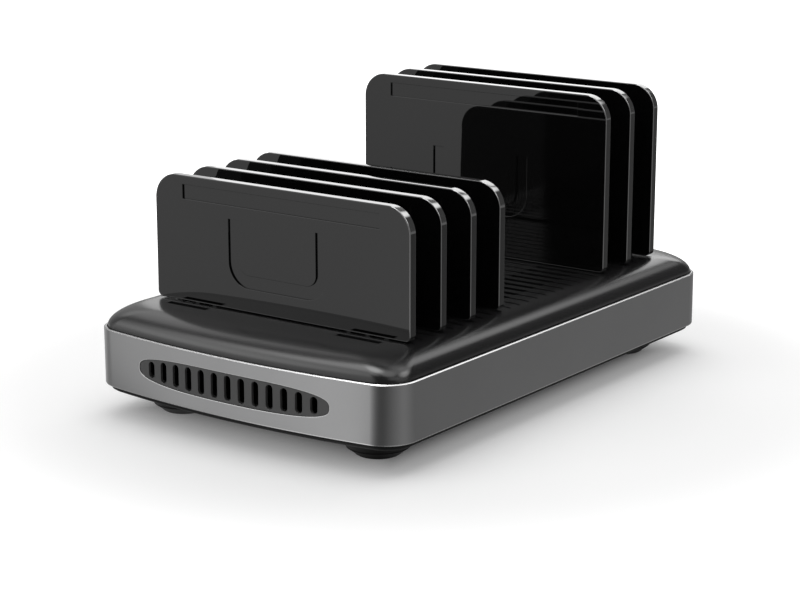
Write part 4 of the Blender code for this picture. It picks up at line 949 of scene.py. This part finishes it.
heights = [(inset * MM, height * MM) for inset, height in rim_curve]
heights += [(rim_inset, ledge), (cover_inset, ledge + ledge_slope), (cover_inset, tray_top)]
tray = closed_skin("lower_tray", [ring_at(*pair) for pair in heights])
room_heights = (tray_floor, tray_top + MM)
carve(tray, closed_skin("room", [ring_at(tray_wall_inset, height) for height in room_heights]))
cone = turned("cone", cone_profile, (foot_x, foot_y, 0))
boss = rod((foot_x, foot_y, underside + MM), (foot_x, foot_y, case_boss[1]), case_boss[0])
well = rod((foot_x, foot_y, cone_bottom - MM), (foot_x, foot_y, case_well[1]), case_well[0])
hole = rod((foot_x, foot_y, underside - MM), (foot_x, foot_y, case_boss[1] + MM), screw_radius)
for tool, operation in ((cone, "UNION"), (boss, "UNION"), (well, "DIFFERENCE"), (hole, "DIFFERENCE")):
    apply_modifier(tool, "MIRROR", use_axis=(True, True, False), merge_threshold=0)
    carve(tray, tool, operation)
for x, y, top in board_posts:
    post = rod((x, y, underside + MM), (x, y, top), board_post)
    hole = rod((x, y, tray_floor + 0.5 * MM), (x, y, top + MM), board_hole)
    for tool, operation in ((post, "UNION"), (hole, "DIFFERENCE")):
        apply_modifier(tool, "MIRROR", use_axis=(False, True, False), merge_threshold=0)
        carve(tray, tool, operation)
carve(tray, window_tool((0, 0, underside), sunk_panel, sunk_radius, sunk_depth, "Z"))
clean(tray)
smooth(tray)


def grey(shade):
    """An even grey."""
    return (shade, shade, shade)


def grained(name, first, second, scale, rough, spread, relief=0.0, **constants):
    """A moulded or coated finish: two shades, an uneven gloss and, where asked, a fine relief."""
    material, start, shader = new_material(name, **constants)
    grain, cloud = noise(start, scale, 3.0), noise(start, scale / 40)
    feed(shader, "Base Color", blend_colors(grain * 0.6 + cloud * 0.4, (*first, 1), (*second, 1)))
    feed(shader, "Roughness", rough + grain * spread)
    if relief:
        roughen(shader, grain, 0.5, relief)
    return material


dull = {"Specular_IOR_Level": 0.15}
tray.data.materials.append(
    grained("grained_black_tray", grey(0.005), grey(0.01), 2500.0, 0.55, 0.2, 0.05 * MM, **dull)
)
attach(tray, "base")
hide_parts("bottom_cover")


# The four pads: soft black rubber discs, each with a stud that plugs the screw well and with rings
# on its sole for grip.
pad_profile = (
    (0, 4.9), (2.9, 4.9), (3.5, 4.3), (3.5, 3.2), (11.0, 3.2), (11.2, 2.9), (8.6, 1.0), (8.2, 0.5),
    (7.4, 0), (6.3, 0), (6.1, 0.35), (5.3, 0.35), (5.1, 0), (3.7, 0), (3.5, 0.35), (2.7, 0.35),
    (2.5, 0), (0, 0),
)

dull = {"Specular_IOR_Level": 0.2}
rubber = grained("soft_black_rubber", grey(0.004), grey(0.009), 1200.0, 0.65, 0.2, 0.04 * MM, **dull)
for end, y in (("front", -foot_y), ("back", foot_y)):
    for hand, x in (("left", -foot_x), ("right", foot_x)):
        pad = turned(f"pad_{end}_{hand}", pad_profile, (x, y, 0))
        pad.data.materials.append(rubber)
        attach(pad, "base")
        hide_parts(f"foot_{end}_{hand}")


# The vent insert: dark grey plastic, moulded to the bow of the end. A plate lies behind the band,
# and an oval step on it fills the opening. Thirteen upright slots let the warm air through.
insert_inset = 1.3 * MM
insert_wall = 1.5 * MM
insert_half = 45.5 * MM
insert_height = 11.8 * MM
step_setback = 0.25 * MM
step_gap = 0.12 * MM
step_wall = 0.1 * MM
plate_rim = (2.0 * MM, 0.8 * MM)
slot_count = 13
slot_pitch = 6.08 * MM
slot_width = 2.9 * MM
slot_margin = 0.85 * MM
slot_edge = 0.3 * MM


def bowed_slab(name, outside, inside, half_length, height):
    """A slab between two insets that follows the bow of the vent end."""
    radius, centre = bow_circle(0)
    reach = math.asin(half_length / (radius - (outside + inside) / 2))
    middle = (0, -centre - radius + (outside + inside) / 2, band_middle)
    slab = flat_piece(name, middle, (inside - outside, height), "X")
    bpy.ops.mesh.spin(steps=16, angle=reach, center=(0, -centre, 0), axis=(0, 0, 1))
    bpy.ops.object.mode_set(mode="OBJECT")
    apply_modifier(slab, "MIRROR", use_axis=(True, False, False), merge_threshold=weld_gap)
    bpy.ops.object.mode_set(mode="EDIT")
    select(slab, "faces", lambda face, at: abs(at.x) < weld_gap and abs(face.normal.x) > 0.9)
    bpy.ops.mesh.delete(type="FACE")
    clean(slab)
    return slab


insert = bowed_slab("vent_insert", insert_inset, insert_inset + insert_wall, insert_half, insert_height)
size = (vent_length / 2 - plate_rim[0], vent_height / 2 - plate_rim[1])
carve(insert, oval_tool(*size, vent_squareness, vent_place, cut_depth))
raised = bowed_slab("step", step_setback, insert_inset + step_wall, insert_half - MM, insert_height)
size = (vent_length / 2 - step_gap, vent_height / 2 - step_gap)
carve(raised, oval_tool(*size, vent_squareness, vent_place, cut_depth), "INTERSECT")
carve(insert, raised, "UNION")
for number in range(slot_count):
    x = (number - (slot_count - 1) / 2) * slot_pitch
    share = (1 - abs(2 * x / vent_length) ** vent_squareness) ** (1 / vent_squareness)
    size = (slot_width, vent_height * share - 2 * slot_margin)
    carve(insert, window_tool((x, front, band_middle), size, 0.49 * slot_width, cut_depth, "Y", 8))


def on_slot_lip(edge, at):
    """True for the outer edges of the slots and of the oval step."""
    ahead = -end_at(at.x, step_setback + 0.1 * MM)
    return is_sharp(edge) and at.y < ahead


bpy.ops.object.mode_set(mode="EDIT")
select(insert, "edges", on_slot_lip)
bpy.ops.mesh.bevel(offset=slot_edge, segments=3, affect="EDGES", clamp_overlap=True)
bpy.ops.object.mode_set(mode="OBJECT")
smooth(insert)
insert.data.materials.append(
    grained("vent_grey_plastic", grey(0.035), grey(0.05), 1800.0, 0.42, 0.12, 0.03 * MM)
)
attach(insert, "base")
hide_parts("vent_grille")


# The port surround: satin black plastic clipped behind the long window, with ten openings. Behind
# each stands a plated steel socket with a white tongue and four gilt contacts.
port_count = 10
port_pitch = 18.0065 * MM
port_opening = (12.4 * MM, 5.0 * MM)
surround_half = 92.532 * MM
surround_low = 15.9 * MM
surround_high = 27.7 * MM
surround_back = -64.95 * MM
surround_step = -66.95 * MM
surround_face = -67.95 * MM
raised_margin = 2.8 * MM
raised_height = 9.8 * MM
raised_radius = 1.7 * MM
raised_root = 0.5 * MM
shell_size = (13.2 * MM, 5.8 * MM)
shell_back = -50.65 * MM
shell_mouth = -64.65 * MM
shell_wall = 0.4 * MM
nose_size = (12.1 * MM, 4.7 * MM)
nose_mouth = -67.5 * MM
tongue_width = 10.6 * MM
tongue_heights = (21.7 * MM, 23.1 * MM)
contact_pitch = 2.5 * MM
contact_width = 1.0 * MM


def soften_edges(piece, width, segments=2, angle=40):
    """Rounds every edge of a piece that is sharper than an angle."""
    settings = {"width": width, "segments": segments, "limit_method": "ANGLE"}
    apply_modifier(piece, "BEVEL", angle_limit=math.radians(angle), **settings)


def port_y(number):
    """Where a port lies along the base, counted from 0 at the vent end."""
    return (number - (port_count - 1) / 2) * port_pitch


low = (surround_step, -surround_half, surround_low)
surround = block(low, (surround_back, surround_half, surround_high))
surround.name = "port_surround"
place = ((surround_face + surround_step) / 2 + raised_root / 2, 0, band_middle)
size = (2 * (surround_half - raised_margin), raised_height)
depth = surround_step - surround_face + raised_root
carve(surround, window_tool(place, size, raised_radius, depth, "X"), "UNION")
for number in range(port_count):
    place = (surround_step, port_y(number), band_middle)
    carve(surround, window_tool(place, port_opening, 0.5 * MM, 6 * MM, "X", 3))
soften_edges(surround, 0.22 * MM)
smooth(surround)
satin_black = ((0.008, 0.008, 0.0085), (0.014, 0.014, 0.0145))
surround.data.materials.append(
    grained("satin_black_surround", *satin_black, 2000.0, 0.3, 0.12, 0.02 * MM)
)
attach(surround, "base")
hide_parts("port_bezel")

plated = grained("plated_steel", grey(0.5), (0.66, 0.66, 0.65), 1500.0, 0.2, 0.14, Metallic=1.0)
tongue_white = grained("tongue_white", (0.5, 0.5, 0.49), (0.6, 0.6, 0.585), 1500.0, 0.4, 0.15)
gilt = grained("gilt_contact", (0.75, 0.5, 0.18), (0.85, 0.6, 0.26), 1500.0, 0.2, 0.12, Metallic=1.0)
middle_x = (shell_mouth + shell_back) / 2
depth = shell_back - shell_mouth
model = window_tool((middle_x, 0, band_middle), shell_size, 0.7 * MM, depth, "X", 4)
nose = (nose_mouth + shell_back) / 2
length = shell_back - nose_mouth
inside = tuple(across - 2 * shell_wall for across in nose_size)
carve(model, window_tool((nose, 0, band_middle), nose_size, 0.5 * MM, length, "X", 4), "UNION")
carve(model, window_tool((nose - 3.0 * MM, 0, band_middle), inside, 0.3 * MM, length, "X", 4))
soften_edges(model, 0.1 * MM)
model.data.materials.append(plated)
low = (nose_mouth + 0.9 * MM, -tongue_width / 2, tongue_heights[0])
tongue = block(low, (shell_back - 2.5 * MM, tongue_width / 2, tongue_heights[1]))
soften_edges(tongue, 0.15 * MM)
tongue.data.materials.append(tongue_white)
first = -1.5 * contact_pitch
low = (nose_mouth + 1.5 * MM, first - contact_width / 2, tongue_heights[0] - 0.12 * MM)
high = (shell_back - 2.6 * MM, first + contact_width / 2, tongue_heights[0] + 0.1 * MM)
contacts = block(low, high)
apply_modifier(contacts, "ARRAY", count=4, constant_offset_displace=(0, contact_pitch, 0), **step)
contacts.data.materials.append(gilt)
model = join_pieces(model, tongue, contacts)
smooth(model)
for number in range(port_count):
    socket = copy_of(model, f"port_socket_{number + 1:02d}", (0, port_y(number), 0))
    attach(socket, "base")
    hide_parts(f"usb_port_{number + 1:02d}")
bpy.data.objects.remove(model)


# The rear plate: satin black plastic behind the window in the far end, with openings for the mains
# inlet and the power switch, which snap into it from outside.
plate_half = 33.0 * MM
plate_front = 105.301 * MM
plate_back = 107.301 * MM
inlet_opening = 17.6 * MM
switch_opening = 15.0 * MM
opening_height = 9.0 * MM
fitting_face = 108.401 * MM
flange_wall = 0.8 * MM
flange_height = 9.6 * MM
fitting_height = 8.4 * MM
inlet_x = 16.0 * MM
switch_x = -14.0 * MM

rear = block((-plate_half, plate_front, surround_low), (plate_half, plate_back, surround_high))
rear.name = "rear_plate"
for x, width in ((inlet_x, inlet_opening), (switch_x, switch_opening)):
    place = (x, (plate_front + plate_back) / 2, band_middle)
    carve(rear, window_tool(place, (width, opening_height), 0.8 * MM, 6 * MM, "Y"))
soften_edges(rear, 0.2 * MM)
smooth(rear)
rear.data.materials.append(grained("satin_black_rear", *satin_black, 2000.0, 0.32, 0.12, 0.02 * MM))
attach(rear, "base")
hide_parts("rear_panel")


# The mains inlet: a black moulded two-pin inlet with a waisted mouth, and its two round pins.
inlet_width = 17.0 * MM
inlet_depth = 15.0 * MM
mouth_width = 14.6 * MM
mouth_height = 6.8 * MM
mouth_depth = 10.0 * MM
waist_drop = 0.7 * MM
pin_spacing = 8.6 * MM
pin_radius = 1.2 * MM
pin_back = 89.401 * MM
pin_tip = 106.901 * MM


def fitting(name, x, width, depth):
    """The body of a fitting that snaps into the rear plate, with its flange outside."""
    place = (x, fitting_face - depth / 2, band_middle)
    body = window_tool(place, (width, fitting_height), 1.0 * MM, depth, "Y")
    body.name = name
    place = (x, fitting_face - flange_wall / 2, band_middle)
    flange = window_tool(place, (width + 2 * MM, flange_height), 1.6 * MM, flange_wall, "Y")
    carve(body, flange, "UNION")
    return body


inlet = fitting("inlet_body", inlet_x, inlet_width, inlet_depth)
deep, proud = fitting_face - mouth_depth, fitting_face + overrun
across = (mouth_width - mouth_height) / 2
for x in (inlet_x - across, inlet_x + across):
    carve(inlet, rod((x, deep, band_middle), (x, proud, band_middle), mouth_height / 2, steps=48))
waist = mouth_height / 2 - waist_drop
low = (inlet_x - across, deep, band_middle - waist)
carve(inlet, block(low, (inlet_x + across, proud, band_middle + waist)))
soften_edges(inlet, 0.2 * MM)
smooth(inlet)
fitting_black = grained("fitting_black", grey(0.01), grey(0.02), 1800.0, 0.38, 0.16, 0.03 * MM)
inlet.data.materials.append(fitting_black)
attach(inlet, "base")
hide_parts("ac_inlet")
bright_pin = grained("bright_pin", (0.62, 0.52, 0.36), (0.76, 0.66, 0.48), 1200.0, 0.18, 0.14, Metallic=1.0)
for hand, x in (("left", inlet_x - pin_spacing / 2), ("right", inlet_x + pin_spacing / 2)):
    pin = rod((x, pin_back, band_middle), (x, pin_tip, band_middle), pin_radius)
    pin.name = f"round_pin_{hand}"
    soften_edges(pin, 0.45 * MM, 4)
    smooth(pin)
    pin.data.materials.append(bright_pin)
    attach(pin, "base")
    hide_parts(f"inlet_pin_{hand}")


# The power switch: a black snap-in housing with two terminals, and a polished rocker on trunnions
# that tips about an upright axis. Its two wings carry the plain marks for on and off.
switch_width = 14.4 * MM
switch_depth = 12.0 * MM
well_size = (12.4 * MM, 6.4 * MM)
well_depth = 4.8 * MM
terminal_gap = 3.5 * MM
terminal_wall = 0.8 * MM
terminal_length = 4.0 * MM
pivot_y = 106.401 * MM
rocker_half_height = 2.9 * MM
rocker_rest = math.radians(-10)
rocker_outline = ((-1.6, -2.2), (1.6, -2.2), (5.4, -0.4), (5.4, 2.2), (0, 1.4), (-5.4, 2.2), (-5.4, -0.4))

switch = fitting("switch_body", switch_x, switch_width, switch_depth)
place = (switch_x, fitting_face, band_middle)
carve(switch, window_tool(place, well_size, 0.8 * MM, 2 * well_depth, "Y"))
for side_sign in (-1, 1):
    place = Vector((switch_x, pivot_y, band_middle + side_sign * (well_size[1] / 2 + 0.25 * MM)))
    lift = Vector((0, 0, 0.5 * MM))
    carve(switch, rod(place - lift, place + lift, 0.95 * MM, steps=24))
soften_edges(switch, 0.18 * MM)
smooth(switch)
switch.data.materials.append(fitting_black)
tabs = []
for x in (switch_x - terminal_gap, switch_x + terminal_gap):
    y = fitting_face - switch_depth
    low = (x - terminal_wall / 2, y - terminal_length, band_middle - 2.4 * MM)
    tab = block(low, (x + terminal_wall / 2, y + 0.5 * MM, band_middle + 2.4 * MM))
    soften_edges(tab, 0.2 * MM)
    tab.data.materials.append(plated)
    tabs.append(tab)
switch = join_pieces(switch, *tabs)
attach(switch, "base")
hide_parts("switch_housing")

rocker = drawn("rocker_key", rocker_outline, upright=False)
bpy.ops.mesh.edge_face_add()
select_all()
bpy.ops.transform.translate(value=(0, 0, -rocker_half_height))
extrude((0, 0, 2 * rocker_half_height))
clean(rocker)
soften_edges(rocker, 0.25 * MM, 3, 20)
trunnion = rod((0, 0, -3.6 * MM), (0, 0, 3.6 * MM), 0.8 * MM, steps=24)
carve(rocker, trunnion, "UNION")
rocker.data.materials.append(
    grained("rocker_black", (0.004, 0.004, 0.0042), (0.008, 0.008, 0.0083), 1200.0, 0.16, 0.08)
)
mark_white = grained("mark_white", (0.72, 0.72, 0.7), (0.82, 0.82, 0.8), 1500.0, 0.45, 0.15)
wing_slope = math.atan2(0.8, 5.4)
mark_rise = 0.05 * MM
mark_root = 0.1 * MM
mark_half = 1.3 * MM
mark_line = 0.45 * MM
bar_mark = block((-0.25 * MM, -mark_root, -mark_half), (0.25 * MM, mark_rise, mark_half))
ring_mark = disc(40, mark_half)
bpy.ops.object.mode_set(mode="EDIT")
select_all()
bpy.ops.mesh.inset(thickness=mark_line)
bpy.ops.mesh.delete(type="FACE")
select_all()
bpy.ops.transform.translate(value=(0, -mark_root, 0))
extrude((0, mark_root + mark_rise, 0))
clean(ring_mark)
for mark, sign in ((bar_mark, -1), (ring_mark, 1)):
    mark.data.transform(Matrix.Rotation(sign * wing_slope, 4, "Z"))
    mark.data.transform(Matrix.Translation((sign * 2.7 * MM, 1.8 * MM, 0)))
    mark.data.materials.append(mark_white)
rocker = join_pieces(rocker, bar_mark, ring_mark)
smooth(rocker, 25)
rocker.data.transform(Matrix.Rotation(rocker_rest, 4, "Z"))
rocker.data.transform(Matrix.Translation((switch_x, pivot_y, band_middle)))
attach(rocker, "rocker")
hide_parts("switch_rocker")


# The works inside, which show a little through the vent, the ports and the sockets: circuit boards,
# a transformer, capacitors, a choke, a fuse, heat sinks, leads and screws. Their solids are kept.
def finish_nodes(material, *names):
    """Gives kept CAD nodes a finish."""
    for name in names:
        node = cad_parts[name]
        node.data.materials.clear()
        node.data.materials.append(material)


screw = grained("bright_screw", grey(0.45), (0.62, 0.62, 0.6), 1500.0, 0.25, 0.15, Metallic=1.0)
corners = ("front_left", "front_right", "back_left", "back_right")
finish_nodes(screw, *[f"case_screw_{corner}" for corner in corners])
finish_nodes(screw, *[f"mains_board_screw_{number}" for number in (1, 2, 3, 4)])
finish_nodes(screw, "output_board_screw_1", "output_board_screw_2")

material, start, shader = new_material("green_lacquer", IOR=1.5)
place = start.node("ShaderNodeTexCoord", output="Object")
spots = start.node("ShaderNodeTexVoronoi", {"distance": "CHEBYCHEV"}, {"Vector": place, "Scale": 260.0})
lane = spots.math("GREATER_THAN", spots, 0.42)
cloud = noise(start, 60.0)
board = blend_colors(cloud, (0.008, 0.07, 0.028, 1), (0.014, 0.105, 0.045, 1))
feed(shader, "Base Color", blend_colors(lane * 0.6, board, (0.03, 0.2, 0.09, 1)))
feed(shader, "Roughness", 0.22 + cloud * 0.14)
roughen(shader, lane, 0.3, 0.03 * MM)
finish_nodes(material, "output_board", "mains_board")

ferrite = grained("ferrite_grey", (0.03, 0.03, 0.033), (0.05, 0.05, 0.054), 1400.0, 0.55, 0.2, 0.05 * MM)
finish_nodes(ferrite, "transformer_core")
tape = grained("yellow_film", (0.62, 0.44, 0.05), (0.78, 0.6, 0.1), 500.0, 0.25, 0.15, 0.03 * MM)
finish_nodes(tape, "transformer_winding", "film_capacitor")
sleeve = grained("shrunk_sleeve", (0.012, 0.014, 0.03), (0.022, 0.026, 0.05), 700.0, 0.24, 0.12, 0.02 * MM)
finish_nodes(sleeve, *[f"{kind}_capacitor_{number}" for kind in ("bulk", "output") for number in (1, 2)])

material, start, shader = new_material("enamelled_copper", Metallic=1.0)
place = start.node("ShaderNodeTexCoord", output="Object")
wave = {"Vector": place, "Scale": 320.0, "Distortion": 0.6}
turns = start.node("ShaderNodeTexWave", {"bands_direction": "X"}, wave)
feed(shader, "Base Color", blend_colors(turns, (0.42, 0.14, 0.05, 1), (0.7, 0.3, 0.13, 1)))
feed(shader, "Roughness", 0.25 + turns * 0.15)
roughen(shader, turns, 0.6, 0.2 * MM)
finish_nodes(material, "common_mode_choke")

ceramic = grained("glazed_ceramic", (0.68, 0.68, 0.65), (0.8, 0.8, 0.77), 900.0, 0.25, 0.15)
finish_nodes(ceramic, "fuse")
extruded = grained("extruded_metal", (0.4, 0.4, 0.42), (0.55, 0.55, 0.57), 1200.0, 0.32, 0.18, Metallic=1.0)
finish_nodes(extruded, "primary_heatsink", "secondary_heatsink")
for name, shade, nodes in (
    ("brown_sheath", (0.16, 0.06, 0.025), ("live_lead", "switched_lead")),
    ("blue_sheath", (0.02, 0.08, 0.38), ("neutral_lead",)),
    ("red_sheath", (0.42, 0.02, 0.02), ("dc_lead_positive",)),
    ("black_sheath", (0.012, 0.012, 0.012), ("dc_lead_negative",)),
):
    lighter = tuple(1.35 * part for part in shade)
    finish_nodes(grained(name, shade, lighter, 900.0, 0.35, 0.15, 0.03 * MM), *nodes)
